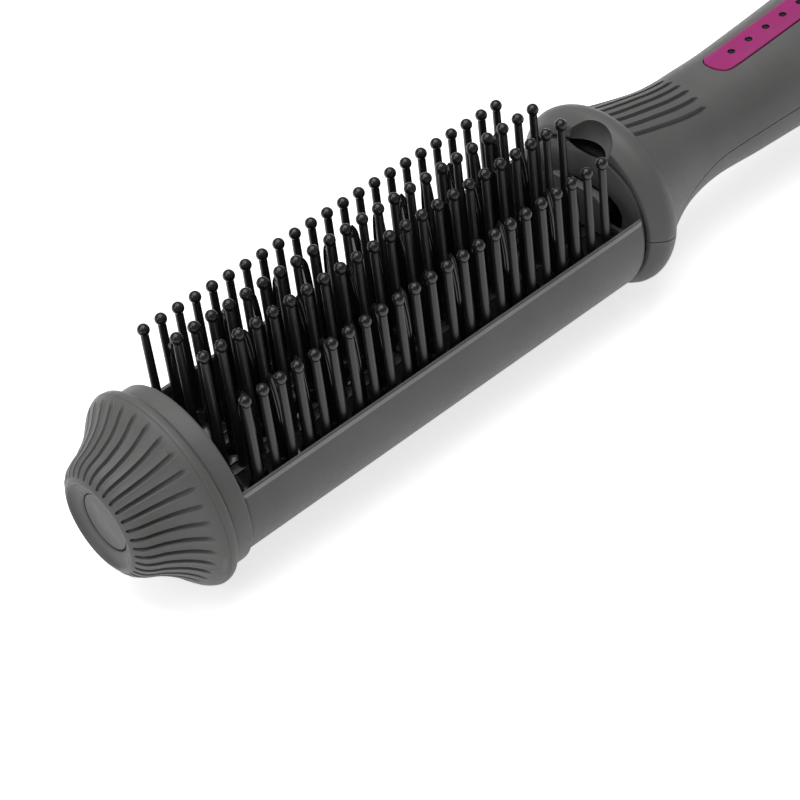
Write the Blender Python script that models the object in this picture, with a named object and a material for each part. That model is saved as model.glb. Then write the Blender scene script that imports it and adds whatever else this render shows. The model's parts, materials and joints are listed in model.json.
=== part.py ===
"""Hot air brush: a half-open bristle head plugged into a handle with heater, motor and fan.

Every length is in millimetres times MM. S is the distance along the brush from the nose,
Y is sideways, Z is up from the barrel's axis. The frame empty puts that axis at its height
above the table, with the middle of the brush's length at the origin.
"""

import math

import bmesh
import bpy
from mathutils import Matrix, Vector

MM = 0.001

# Overall
CLEARANCE = 0.3 * MM
CUT_OVERRUN = 2 * MM
REST_FLAT_DEPTH = 0.3 * MM
ROUND_SEGMENTS = 40
INSIDE_SEGMENTS = 24

# Head: barrel
BARREL_RADIUS = 22.2 * MM
BARREL_WALL = 1.5 * MM
BARREL_LENGTH = 127 * MM
BARREL_END_ROUND = 1.4 * MM
BARREL_FACET_SHARE = 0.99
RIM_HEIGHT = 6.0 * MM
RIM_CHAMFER = 0.8 * MM
TONGUE_LENGTH = 4.0 * MM

# Head: fluted tip
TIP_LENGTH = 17.9 * MM
LIP_PROUD = 2.2 * MM
LIP_THICK = 1.6 * MM
TIP_WALL = 2.2 * MM
NOSE_RADIUS = 12.9 * MM
NOSE_LIFT = 1.4 * MM
FLUTE_COUNT = 34
FLUTE_DEPTH = 1.0 * MM
PLUG_RADIUS = 7.3 * MM
PLUG_S = 1.7 * MM
PLUG_THICK = 1.3 * MM
TIP_SCREW_RADIUS = 1.5 * MM
TIP_SCREW_HEAD = 3.6 * MM
TIP_SCREW_HEAD_THICK = 1.7 * MM
TIP_WEB = 2.6 * MM

# Head: flange
FLANGE_PROUD = 1.1 * MM
FLANGE_THICK = 5.2 * MM
FLANGE_SPIGOT_THICK = 2.0 * MM
FLANGE_SPIGOT_SHARE = 0.98

# Head: bed, pins and fins
BED_TOP = -4.7 * MM
BED_THICK = 2.5 * MM
HEAT_PLATE_THICK = 1.5 * MM
HEAT_PLATE_ROOM = 2.6 * MM
STRIP_THICK = 1.4 * MM
PIN_PITCH = 5.0 * MM
PIN_START = 7.2 * MM
PIN_END_ROOM = 9.0 * MM
PIN_REACH = 10.6 * MM
PIN_BASE_RADIUS = 1.15 * MM
PIN_NECK_RADIUS = 1.0 * MM
PIN_BALL_RADIUS = 1.5 * MM
PIN_SIDES = 5
OUTER_ROW_ROOM = 1.695 * MM
OUTER_STRIP_REACH = 1.4 * MM
INNER_ROW_SHARE = 0.265
INNER_STRIP_HALF = 1.5 * MM
SIDE_FIN_SHARE = 0.704
FIN_PITCH = 7.8 * MM
FIN_START = 10.4 * MM
FIN_END_ROOM = 13.0 * MM
FIN_SHORT = 4.8 * MM
FIN_HALF_WIDTH = 2.1 * MM
FIN_HALF_THICK = 0.9 * MM
STAR_RADIUS = 3.3 * MM
STAR_HEIGHT = 2.6 * MM
STAR_TOP_SHARE = 0.72
STAR_WAIST_SHARE = 0.55

# Head: end plate with the air outlet
PLATE_ROOM = 0.8 * MM
PLATE_THICK = 2.6 * MM
PLATE_FACE_SHARE = 0.72
OUTLET_FOOT_SHARE = 0.764
OUTLET_SHARES = ((0.693, 0.191), (0.612, 0.369), (0.482, 0.447))
OUTLET_CORE_SHARES = (0.523, 0.347)
OUTLET_CORE_CHAMFER = 1.6 * MM
OUTLET_CORE_PROUD = 0.8 * MM
OUTLET_CORE_LENGTH = 12.0 * MM
OUTLET_CORE_END_SHARE = 0.5
SPIGOT_SHARE = 0.633
SPIGOT_WALL = 1.6 * MM
SPIGOT_LENGTH = 14.0 * MM

# Handle: inside
SOCKET_THICK = 3.6 * MM
SLEEVE_AHEAD = 8.9 * MM
SLEEVE_RADIUS = 11.4 * MM
SLEEVE_ROOM = 0.9 * MM
SLEEVE_WALL = 0.5 * MM
SLEEVE_LENGTH = 48 * MM
SLEEVE_LIFT = 2.5 * MM
HEATER_BOARD_THICK = 0.8 * MM
HEATER_WIRE_RADIUS = 0.4 * MM
HEATER_TURNS = 7
HEATER_TURN_POINTS = 8
HEATER_ROOM = 0.3 * MM
THERMOSTAT_RADIUS = 4.0 * MM
THERMOSTAT_THICK = 3.0 * MM
BOARD_AHEAD = 8.0 * MM
BOARD_TAIL = 2.1 * MM
BOARD_HALF_WIDTH = 9.0 * MM
BOARD_THICK = 1.6 * MM
BOARD_Z = 8.2 * MM
SWITCH_HALF_WIDTH = 3.4 * MM
KEY_SWITCH_HALF = 3.0 * MM
MOTOR_AHEAD = 2.0 * MM
MOTOR_RADIUS = 11.0 * MM
MOTOR_LENGTH = 18 * MM
MOTOR_NOSE_RADIUS = 3.2 * MM
MOTOR_NOSE_LENGTH = 1.2 * MM
MOTOR_BORE_SHARE = 0.5
MOUNT_THICK = 3.0 * MM
MOUNT_RIM = 2.0 * MM
MOUNT_HUB_WALL = 1.6 * MM
MOUNT_SPOKES = 5
MOUNT_SPOKE_HALF = 1.2 * MM
SHAFT_RADIUS = 1.0 * MM
SHAFT_ROOM = 0.1 * MM
FAN_TIP_GAP = 1.0 * MM
FAN_END_ROOM = 3.8 * MM
FAN_HUB_RADIUS = 5.0 * MM
FAN_HUB_LENGTH = 6.0 * MM
FAN_BLADES = 9
FAN_BLADE_THICK = 0.9 * MM
FAN_BLADE_CHORD = 7.0 * MM
FAN_BLADE_DEGREES = 38

# Handle: shells
COLLAR_GAP = 1.1 * MM
COLLAR_LENGTH = 8.6 * MM
COLLAR_FRONT_DROP = 0.3 * MM
COLLAR_PROUD = 0.6 * MM
COLLAR_BULGE = 1.8 * MM
COLLAR_BULGE_SHARE = 0.5
COLLAR_ROOM = 0.9 * MM
SHELL_WALL = 2.0 * MM
REAR_PROUD = 0.1 * MM
NECK_LENGTH = 29.1 * MM
NECK_LIFT = 2.1 * MM
NECK_SETTLE = 16 * MM
NECK_SLOPE = 2.1
GRIP_LENGTH = 45 * MM
GRIP_RADIUS = 16.3 * MM
GRIP_LIFT = 1.4 * MM
PARTING_FRONT = -1.2 * MM
PARTING_RIDGE = -3.0 * MM
PARTING_BACK = 1.1 * MM
SHELL_SIDES = 16
SHELL_INNER_SIDES = 7
SCOOP_RADIUS = 8.0 * MM
SCOOP_RISE = 1.0 * MM
SCOOP_AHEAD = 2.6 * MM
SCOOP_BACKING_DEPTH = 5.6 * MM
SCOOP_BACKING_DEGREES = 27
SCOOP_BACKING_FOOT_SHARE = 0.96
NECK_GROOVES = 7
NECK_GROOVE_PITCH = 2.85 * MM
NECK_GROOVE_WIDTH = 1.2 * MM
NECK_GROOVE_DEPTH = 1.2 * MM
NECK_GROOVE_AHEAD = 0.5 * MM
NECK_GROOVE_LENGTH = 25.6 * MM
SCREW_AHEAD = 7.7 * MM
SCREW_SPACING = 27 * MM
SCREW_SHANK_RADIUS = 1.2 * MM
SCREW_HEAD_RADIUS = 2.4 * MM
SCREW_HEAD_THICK = 1.6 * MM
SCREW_BOSS_RADIUS = 3.2 * MM
SCREW_BOSS_RISE = 4.2 * MM
SCREW_WEB_HALF = 1.1 * MM
SCREW_WEB_HEIGHT = 1.8 * MM

# Handle: control strip, slider and button
STRIP_AHEAD = 7.8 * MM
STRIP_TAIL = 8.4 * MM
STRIP_HALF = 4.1 * MM
STRIP_PROUD = 0.35 * MM
STRIP_DEPTH = 1.2 * MM
DOT_AHEAD = 8.3 * MM
DOT_PITCH = 6.5 * MM
DOT_END_ROOM = 5.5 * MM
DOT_RADIUS = 1.15 * MM
DOT_DEPTH = 0.5 * MM
BUTTON_ALONG = 23.5 * MM
BUTTON_HALF_LENGTH = 5.6 * MM
BUTTON_HALF_WIDTH = 2.7 * MM
BUTTON_PROUD = 1.3 * MM
BUTTON_TRAVEL = 1.0 * MM
BUTTON_LIP = 0.8 * MM
SLIDER_SPACING = 12.5 * MM
SLIDER_TRAVEL = 8.0 * MM
SLIDER_HALF_LENGTH = 4.6 * MM
SLIDER_HALF_WIDTH = 3.3 * MM
SLIDER_HEIGHT = 2.4 * MM
SLIDER_RIBS = 4
SLIDER_STEM_HALF_LENGTH = 1.6 * MM
SLIDER_STEM_HALF_WIDTH = 1.2 * MM

# Handle: rear end
GRILLE_LENGTH = 6.0 * MM
GRILLE_WALL = 1.8 * MM
GRILLE_SLOTS = 12
GRILLE_SLOT_HALF = 1.1 * MM
GRILLE_SLOT_RIM = 4.2 * MM
FILTER_THICK = 0.8 * MM
GLAND_BORE = 3.4 * MM
GLAND_RADIUS = 6.2 * MM
GLAND_REACH = 7.7 * MM
GLAND_FLANGE_RADIUS = 7.8 * MM
GLAND_FLANGE_THICK = 1.6 * MM
GLAND_ROOM = 0.2 * MM

# Worked out across the brush
FLANGE_RADIUS = BARREL_RADIUS + FLANGE_PROUD
LIP_RADIUS = FLANGE_RADIUS + LIP_PROUD
AXIS_HEIGHT = LIP_RADIUS - REST_FLAT_DEPTH
REAR_RADIUS = LIP_RADIUS + REAR_PROUD
BARREL_BORE = BARREL_RADIUS - BARREL_WALL
BARREL_INSIDE = BARREL_BORE * BARREL_FACET_SHARE
PLATE_RADIUS = BARREL_BORE - PLATE_ROOM
SPIGOT_RADIUS = PLATE_RADIUS * SPIGOT_SHARE
COLLAR_BORE = PLATE_RADIUS + COLLAR_ROOM
COLLAR_FRONT_RADIUS = BARREL_RADIUS - COLLAR_FRONT_DROP
COLLAR_RADIUS = BARREL_RADIUS + COLLAR_PROUD
NECK_RADIUS = SLEEVE_RADIUS + SLEEVE_ROOM + SHELL_WALL
SHELL_FACET_SHARE = math.cos(math.pi / (2 * SHELL_INNER_SIDES))
BACKING_RADIUS = (COLLAR_BORE + COLLAR_FRONT_RADIUS) / 2
OUTER_ROW_Y = math.sqrt(BARREL_INSIDE**2 - RIM_HEIGHT**2) - OUTER_ROW_ROOM
INNER_ROW_Y = OUTER_ROW_Y * INNER_ROW_SHARE
SIDE_FIN_Y = OUTER_ROW_Y * SIDE_FIN_SHARE
PIN_CIRCLE = BARREL_RADIUS + PIN_REACH
FIN_CIRCLE = PIN_CIRCLE - FIN_SHORT
STRIP_BOTTOM = BED_TOP + CLEARANCE
STRIP_TOP = STRIP_BOTTOM + STRIP_THICK
BED_BOTTOM = BED_TOP - BED_THICK
HEAT_PLATE_TOP = BED_BOTTOM - CLEARANCE
TONGUE_TOP = HEAT_PLATE_TOP - HEAT_PLATE_THICK - CLEARANCE

# Worked out along the brush
LIP_BACK_S = TIP_LENGTH + LIP_THICK
BARREL_START_S = LIP_BACK_S + CLEARANCE + FLANGE_THICK + CLEARANCE
BARREL_END_S = BARREL_START_S + BARREL_LENGTH
FIRST_PIN_S = BARREL_START_S + PIN_START
PIN_COUNT = 1 + int((BARREL_LENGTH - PIN_START - PIN_END_ROOM) / PIN_PITCH)
FIRST_FIN_S = BARREL_START_S + FIN_START
SIDE_FIN_COUNT = 1 + int((BARREL_LENGTH - FIN_START - FIN_END_ROOM) / FIN_PITCH)
PLATE_S = BARREL_END_S + CLEARANCE
PLATE_BACK_S = PLATE_S + PLATE_THICK
SPIGOT_END_S = PLATE_BACK_S + SPIGOT_LENGTH
COLLAR_S = BARREL_END_S + COLLAR_GAP
COLLAR_END_S = COLLAR_S + COLLAR_LENGTH
BACKING_S = PLATE_BACK_S + CLEARANCE
NECK_S = COLLAR_END_S + NECK_LENGTH
GRIP_S = NECK_S + GRIP_LENGTH
SLEEVE_S = SPIGOT_END_S + SLEEVE_AHEAD
SLEEVE_END_S = SLEEVE_S + SLEEVE_LENGTH
THERMOSTAT_S = SLEEVE_END_S + CLEARANCE
FIRST_SCREW_S = THERMOSTAT_S + THERMOSTAT_THICK + SCREW_AHEAD
SCREW_PLACES = (FIRST_SCREW_S, FIRST_SCREW_S + SCREW_SPACING)
BOARD_START_S = SLEEVE_END_S + BOARD_AHEAD
BUTTON_S = BOARD_START_S + BUTTON_ALONG
SLIDER_S = BUTTON_S + SLIDER_SPACING
SLIDER_LAST_S = SLIDER_S + SLIDER_TRAVEL
BOARD_END_S = SLIDER_LAST_S + SLIDER_STEM_HALF_LENGTH + CLEARANCE + BOARD_TAIL
STRIP_START_S = NECK_S + STRIP_AHEAD
STRIP_END_S = SLIDER_LAST_S + SLIDER_HALF_LENGTH + STRIP_TAIL
DOT_START_S = STRIP_START_S + DOT_AHEAD
DOT_ROOM = BUTTON_S - BUTTON_HALF_LENGTH - DOT_END_ROOM - DOT_START_S
DOT_COUNT = 1 + int(DOT_ROOM / DOT_PITCH)
MOTOR_S = BOARD_END_S + MOTOR_AHEAD
MOTOR_END_S = MOTOR_S + MOTOR_LENGTH
FAN_S = MOTOR_END_S + MOTOR_NOSE_LENGTH + MOUNT_THICK
SHELL_END_S = FAN_S + FAN_HUB_LENGTH + FAN_END_ROOM
GRILLE_S = SHELL_END_S + CLEARANCE
GRILLE_END_S = GRILLE_S + GRILLE_LENGTH
TOTAL_LENGTH = GRILLE_END_S + GLAND_REACH
NECK_GROOVE_START_S = COLLAR_END_S + NECK_GROOVE_AHEAD
NECK_GROOVE_END_S = NECK_GROOVE_START_S + NECK_GROOVE_LENGTH


def clear_scene():
    """Leave the file empty."""
    for obj in list(bpy.data.objects):
        bpy.data.objects.remove(obj, do_unlink=True)


def plastic(name, colour, roughness, metallic=0.0):
    """A plain material with the piece's own colour."""
    material = bpy.data.materials.new(name)
    material.use_nodes = True
    shader = material.node_tree.nodes["Principled BSDF"]
    shader.inputs["Base Color"].default_value = (*colour, 1.0)
    shader.inputs["Roughness"].default_value = roughness
    shader.inputs["Metallic"].default_value = metallic
    material.diffuse_color = (*colour, 1.0)
    return material


def empty(name, place, parent=None):
    """An empty at (s, y, z) in the brush's own coordinates."""
    marker = bpy.data.objects.new(name, None)
    bpy.context.scene.collection.objects.link(marker)
    marker["place"] = tuple(place)
    if parent is None:
        marker.location = place
    else:
        marker.parent = parent
        marker.location = Vector(place) - Vector(parent["place"])
    return marker


def finish(name, bm, parent, material=None, crease_degrees=40):
    """Turn the faces outward and make the object that hangs on its parent empty."""
    bmesh.ops.recalc_face_normals(bm, faces=bm.faces)
    if bm.calc_volume(signed=True) < 0:
        bmesh.ops.reverse_faces(bm, faces=bm.faces)
    bmesh.ops.translate(bm, verts=bm.verts, vec=-Vector(parent["place"]))
    mesh = bpy.data.meshes.new(name)
    bm.to_mesh(mesh)
    bm.free()
    mesh.shade_smooth()
    mesh.set_sharp_from_angle(angle=math.radians(crease_degrees))
    obj = bpy.data.objects.new(name, mesh)
    bpy.context.scene.collection.objects.link(obj)
    obj.parent = parent
    if material is None:
        obj.hide_render = True
        obj.display_type = "WIRE"
    else:
        mesh.materials.append(material)
    return obj


def combine(obj, helper, operation):
    """A Boolean of the object with a hidden helper."""
    step = obj.modifiers.new(helper.name, "BOOLEAN")
    step.operation = operation
    step.object = helper
    step.solver = "EXACT"


def loft(bm, sections, closed_along=False):
    """Quads between rings of equal length, with flat ends unless the rings go round."""
    rings = [[bm.verts.new(point) for point in section] for section in sections]
    count = len(rings[0])
    pairs = list(zip(rings, rings[1:]))
    if closed_along:
        pairs.append((rings[-1], rings[0]))
    for first, second in pairs:
        for i in range(count):
            j = (i + 1) % count
            bm.faces.new((first[i], first[j], second[j], second[i]))
    if not closed_along:
        bm.faces.new(rings[0])
        bm.faces.new(reversed(rings[-1]))
    return rings


def ring(s, radius, lift=0.0, segments=ROUND_SEGMENTS):
    """A ring of points round the brush's axis, with a facet face down."""
    points = []
    for i in range(segments):
        angle = 2 * math.pi * (i + 0.5) / segments - math.pi / 2
        points.append(Vector((s, radius * math.cos(angle), lift + radius * math.sin(angle))))
    return points


def turned(bm, profile, segments=ROUND_SEGMENTS, lift=0.0):
    """A turned solid: the profile of (s, radius) goes round a closed loop off the axis."""
    sections = [ring(s, radius, lift, segments) for s, radius in profile]
    loft(bm, sections, closed_along=True)


def rod(bm, start, end, radius, lift=0.0, segments=ROUND_SEGMENTS):
    """A plain round bar along the brush."""
    loft(bm, [ring(start, radius, lift, segments), ring(end, radius, lift, segments)])


def block(bm, low, high):
    """A box between two corners."""
    corners = bmesh.ops.create_cube(bm, size=1.0)["verts"]
    middle = (Vector(low) + Vector(high)) / 2
    size = Vector(high) - Vector(low)
    bmesh.ops.scale(bm, verts=corners, vec=size)
    bmesh.ops.translate(bm, verts=corners, vec=middle)


def prism(bm, outline, start, end):
    """A (y, z) outline pulled along the brush from start to end."""
    loft(bm, [[Vector((s, y, z)) for y, z in outline] for s in (start, end)])


def arc(radius, first_degrees, last_degrees, steps):
    """Points of (y, z) on a circle round the axis."""
    points = []
    for i in range(steps + 1):
        angle = math.radians(first_degrees + (last_degrees - first_degrees) * i / steps)
        points.append((radius * math.cos(angle), radius * math.sin(angle)))
    return points


# The fluted tip

TIP_OUTSIDE_SHARES = (
    # share of the way from lip to nose, share of the way from lip radius to nose radius
    (-0.03, 0.0),
    (0.09, 0.04),
    (0.22, 0.175),
    (0.42, 0.455),
    (0.62, 0.66),
    (0.80, 0.82),
    (0.93, 0.93),
    (0.985, 1.0),
    (1.0, 1.07),
)
FLUTE_SHARES = (0, 0, 0.55, 1, 1, 1, 0.8, 0, 0)


def tip_outside():
    """(s, radius, flute share) down the outside of the tip, from lip to nose."""
    points = []
    for (along, inward), flute in zip(TIP_OUTSIDE_SHARES, FLUTE_SHARES):
        s = TIP_LENGTH * (1 - along)
        radius = LIP_RADIUS + (NOSE_RADIUS - LIP_RADIUS) * inward
        points.append((s, radius, flute))
    return points


def tip_lift(s):
    """The nose stands a little higher than the barrel's axis."""
    return NOSE_LIFT * max(0.0, 1 - s / TIP_LENGTH)


def build_tip_cone(parent, material):
    """The fluted cone with its dished nose, hollow behind and bored for its screw."""
    bm = bmesh.new()
    segments = FLUTE_COUNT * 2
    seat = PLUG_RADIUS + CLEARANCE
    dish = (seat + NOSE_RADIUS) / 2
    rows = [(LIP_BACK_S, LIP_RADIUS - TIP_WALL / 2, 0)] + tip_outside()
    rows += [(PLUG_S / 2, dish, 0), (PLUG_S, seat, 0)]
    sections = []
    for s, radius, flute in rows:
        lift = tip_lift(s)
        points = ring(s, radius, lift, segments)
        centre = Vector((s, 0, lift))
        for i in range(0, segments, 2):
            outward = (points[i] - centre).normalized()
            points[i] = points[i] - outward * FLUTE_DEPTH * flute
        sections.append(points)
    loft(bm, sections)
    obj = finish("tip_cone", bm, parent, material, crease_degrees=25)
    combine(obj, build_tip_hollow(parent), "DIFFERENCE")
    combine(obj, build_tip_bore(parent), "DIFFERENCE")
    table = bmesh.new()
    block(
        table,
        (0, -LIP_RADIUS, -LIP_RADIUS - CUT_OVERRUN),
        (LIP_BACK_S + CUT_OVERRUN, LIP_RADIUS, -AXIS_HEIGHT),
    )
    combine(obj, finish("tip_rest_cutter", table, parent), "DIFFERENCE")
    return obj


def tip_web_levels():
    """Where the web behind the plug starts, where it takes the screw's head, and where it ends."""
    front = PLUG_S + PLUG_THICK + CLEARANCE
    step = front + TIP_SCREW_HEAD_THICK + CLEARANCE
    return front, step, step + TIP_WEB


def build_tip_hollow(parent):
    """The room behind the tip's web."""
    back = tip_web_levels()[2]
    wall = TIP_WALL + FLUTE_DEPTH
    inside = [row for row in tip_outside() if back < row[0] < LIP_BACK_S - TIP_WALL]
    rows = [(LIP_BACK_S + CUT_OVERRUN, LIP_RADIUS - wall)]
    rows += [(s, radius - wall) for s, radius, _ in inside]
    rows.append((back, inside[-1][1] - wall * 2))
    bm = bmesh.new()
    loft(bm, [ring(s, radius, tip_lift(s), INSIDE_SEGMENTS) for s, radius in rows])
    return finish("tip_hollow_cutter", bm, parent)


def build_tip_bore(parent):
    """The seat of the plug, the room for the screw's head and the screw's hole."""
    front, step, back = tip_web_levels()
    seat = PLUG_RADIUS + CLEARANCE
    head = TIP_SCREW_HEAD + CLEARANCE
    bore = TIP_SCREW_RADIUS + CLEARANCE
    rows = (
        (-CUT_OVERRUN, seat, NOSE_LIFT),
        (front, seat, NOSE_LIFT),
        (front, head, NOSE_LIFT / 2),
        (step, head, NOSE_LIFT / 2),
        (step, bore, NOSE_LIFT / 2),
        (back + CUT_OVERRUN, bore, NOSE_LIFT / 2),
    )
    bm = bmesh.new()
    loft(bm, [ring(s, radius, lift, INSIDE_SEGMENTS) for s, radius, lift in rows])
    return finish("tip_bore_cutter", bm, parent)


def build_tip_plug(parent, material):
    """The round plug in the nose."""
    bm = bmesh.new()
    rod(bm, PLUG_S, PLUG_S + PLUG_THICK, PLUG_RADIUS, NOSE_LIFT, INSIDE_SEGMENTS)
    return finish("tip_plug", bm, parent, material)


def build_tip_screw(parent, material):
    """The screw that holds the tip on its flange."""
    bm = bmesh.new()
    segments = INSIDE_SEGMENTS // 2
    head_front = PLUG_S + PLUG_THICK + 2 * CLEARANCE
    head_back = head_front + TIP_SCREW_HEAD_THICK
    end = LIP_BACK_S + FLANGE_THICK / 2
    lift = NOSE_LIFT / 2
    sections = [
        ring(head_front, TIP_SCREW_HEAD, lift, segments),
        ring(head_back, TIP_SCREW_HEAD, lift, segments),
        ring(head_back, TIP_SCREW_RADIUS, lift, segments),
        ring(end, TIP_SCREW_RADIUS, lift, segments),
    ]
    loft(bm, sections)
    return finish("tip_screw", bm, parent, material)


def half_disc(radius, top, steps=16):
    """A (y, z) outline: the part of a disc below a flat top."""
    edge = math.degrees(math.asin(top / radius))
    return arc(radius, edge, -180 - edge, steps)


def build_tip_flange(parent, material):
    """The round flange that closes the barrel's front end, with a tongue under the bed."""
    bm = bmesh.new()
    front = LIP_BACK_S + CLEARANCE
    back = front + FLANGE_THICK
    bore = TIP_SCREW_RADIUS + CLEARANCE
    spigot = (LIP_RADIUS - TIP_WALL - FLUTE_DEPTH) * FLANGE_SPIGOT_SHARE - CLEARANCE
    edge = RIM_CHAMFER
    sections = [
        ring(front - FLANGE_SPIGOT_THICK, spigot - BARREL_WALL),
        ring(front - FLANGE_SPIGOT_THICK, spigot),
        ring(front, spigot),
        ring(front, FLANGE_RADIUS),
        ring(back - edge, FLANGE_RADIUS),
        ring(back, FLANGE_RADIUS - edge),
        ring(back, bore, NOSE_LIFT / 2),
        ring(front, bore, NOSE_LIFT / 2),
        ring(front, spigot - BARREL_WALL),
    ]
    loft(bm, sections, closed_along=True)
    obj = finish("tip_flange", bm, parent, material)
    tongue = bmesh.new()
    outline = half_disc(BARREL_INSIDE - CLEARANCE, TONGUE_TOP)
    prism(tongue, outline, back - edge, BARREL_START_S + TONGUE_LENGTH)
    combine(obj, finish("tip_tongue", tongue, parent), "UNION")
    return obj


# The barrel, bed, pins and fins


def build_barrel(parent, material):
    """The half-round shell, open on top, with chamfered rims."""
    bm = bmesh.new()
    steps = 28
    inner_rim = math.degrees(math.asin(RIM_HEIGHT / BARREL_BORE))
    end_radius = BARREL_RADIUS - BARREL_END_ROUND
    stations = (
        (BARREL_START_S, BARREL_RADIUS - RIM_CHAMFER / 2),
        (BARREL_START_S + RIM_CHAMFER / 2, BARREL_RADIUS),
        (BARREL_END_S - BARREL_END_ROUND * 2, BARREL_RADIUS),
        (BARREL_END_S - BARREL_END_ROUND / 2, (BARREL_RADIUS + end_radius) / 2),
        (BARREL_END_S, end_radius),
    )
    sections = []
    for s, radius in stations:
        outer_rim = math.degrees(math.asin((RIM_HEIGHT - RIM_CHAMFER) / radius))
        outline = arc(radius, outer_rim, -180 - outer_rim, steps)
        inside = arc(BARREL_BORE, -180 - inner_rim, inner_rim, steps // 2)
        lip_y = math.sqrt(radius**2 - RIM_HEIGHT**2) - RIM_CHAMFER / 2
        outline += [(-lip_y, RIM_HEIGHT)] + inside + [(lip_y, RIM_HEIGHT)]
        sections.append([Vector((s, y, z)) for y, z in outline])
    loft(bm, sections)
    return finish("barrel_shell", bm, parent, material)


def bed_half_width(z):
    """Half the room between the barrel's walls at a height."""
    return math.sqrt(BARREL_INSIDE**2 - z**2) - CLEARANCE


def build_bed(parent, material):
    """The moulded bed that carries the pin and fin strips."""
    bm = bmesh.new()
    top = bed_half_width(BED_TOP)
    bottom = bed_half_width(BED_BOTTOM)
    outline = [(-top, BED_TOP), (-bottom, BED_BOTTOM), (bottom, BED_BOTTOM), (top, BED_TOP)]
    prism(bm, outline, BARREL_START_S, BARREL_END_S)
    return finish("bristle_bed", bm, parent, material)


def build_heat_plate(parent, material):
    """The metal plate under the bed that spreads the heat."""
    bm = bmesh.new()
    bottom = HEAT_PLATE_TOP - HEAT_PLATE_THICK
    half = bed_half_width(bottom) - HEAT_PLATE_ROOM
    low = (BARREL_START_S, -half, bottom)
    high = (BARREL_END_S, half, HEAT_PLATE_TOP)
    block(bm, low, high)
    return finish("heat_plate", bm, parent, material)


def add_pin(bm, s, y):
    """One tapered stem with a ball on its tip, rooted in its strip."""
    ball_z = math.sqrt(PIN_CIRCLE**2 - y**2)
    ball = PIN_BALL_RADIUS
    profile = [(STRIP_TOP - STRIP_THICK / 2, PIN_BASE_RADIUS)]
    profile.append((ball_z - ball * math.cos(math.asin(PIN_NECK_RADIUS / ball)), PIN_NECK_RADIUS))
    for degrees in (0, 48):
        angle = math.radians(degrees)
        profile.append((ball_z + ball * math.sin(angle), ball * math.cos(angle)))
    rings = []
    for z, radius in profile:
        points = []
        for i in range(PIN_SIDES):
            angle = 2 * math.pi * i / PIN_SIDES
            place = Vector((s + radius * math.cos(angle), y + radius * math.sin(angle), z))
            points.append(bm.verts.new(place))
        rings.append(points)
    for low, high in zip(rings, rings[1:]):
        for i in range(PIN_SIDES):
            j = (i + 1) % PIN_SIDES
            bm.faces.new((low[i], low[j], high[j], high[i]))
    bm.faces.new(reversed(rings[0]))
    pole = bm.verts.new((s, y, ball_z + ball))
    for i in range(PIN_SIDES):
        bm.faces.new((rings[-1][i], rings[-1][(i + 1) % PIN_SIDES], pole))


def build_pin_strip(name, row_y, inside_y, outside_y, parent, material):
    """A backing strip with its row of pins moulded on."""
    side = math.copysign(1, row_y)
    near, far = sorted((side * inside_y, side * outside_y))
    bm = bmesh.new()
    block(bm, (BARREL_START_S, near, STRIP_BOTTOM), (BARREL_END_S, far, STRIP_TOP))
    obj = finish(name, bm, parent, material)
    pins = bmesh.new()
    for i in range(PIN_COUNT):
        add_pin(pins, FIRST_PIN_S + i * PIN_PITCH, row_y)
    combine(obj, finish(name + "_pins", pins, parent), "UNION")
    return obj


def add_star(bm, s, y):
    """The four-pointed boss at a fin's foot."""
    rings = []
    for z, share in ((STRIP_TOP - STRIP_THICK / 2, 1.0), (STRIP_TOP + STAR_HEIGHT, STAR_TOP_SHARE)):
        points = []
        for i in range(8):
            angle = math.radians(45 * i)
            radius = STAR_RADIUS * share * (1.0 if i % 2 == 0 else STAR_WAIST_SHARE)
            points.append(Vector((s + radius * math.cos(angle), y + radius * math.sin(angle), z)))
        rings.append(points)
    loft(bm, rings)


def add_fin(bm, s, y):
    """A flat blade with a rounded top, set across the brush."""
    tip = math.sqrt(FIN_CIRCLE**2 - y**2)
    shoulder = tip - FIN_HALF_WIDTH
    foot = STRIP_TOP - STRIP_THICK / 2
    outline = [(-FIN_HALF_WIDTH, foot)]
    for i in range(4):
        angle = math.pi * (1 - i / 3)
        outline.append((FIN_HALF_WIDTH * math.cos(angle), shoulder + FIN_HALF_WIDTH * math.sin(angle)))
    outline.append((FIN_HALF_WIDTH, foot))
    faces = []
    for side in (-1, 1):
        faces.append([Vector((s + side * FIN_HALF_THICK, y + dy, z)) for dy, z in outline])
    loft(bm, faces)


def build_fin_strip(name, row_y, low_y, high_y, count, start, parent, material):
    """A backing strip with its star bosses and fins."""
    bm = bmesh.new()
    block(bm, (BARREL_START_S, low_y, STRIP_BOTTOM), (BARREL_END_S, high_y, STRIP_TOP))
    obj = finish(name, bm, parent, material)
    stars = bmesh.new()
    fins = bmesh.new()
    for i in range(count):
        s = start + i * FIN_PITCH
        add_star(stars, s, row_y)
        add_fin(fins, s, row_y)
    combine(obj, finish(name + "_stars", stars, parent), "UNION")
    combine(obj, finish(name + "_fins", fins, parent), "UNION")
    return obj


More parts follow.
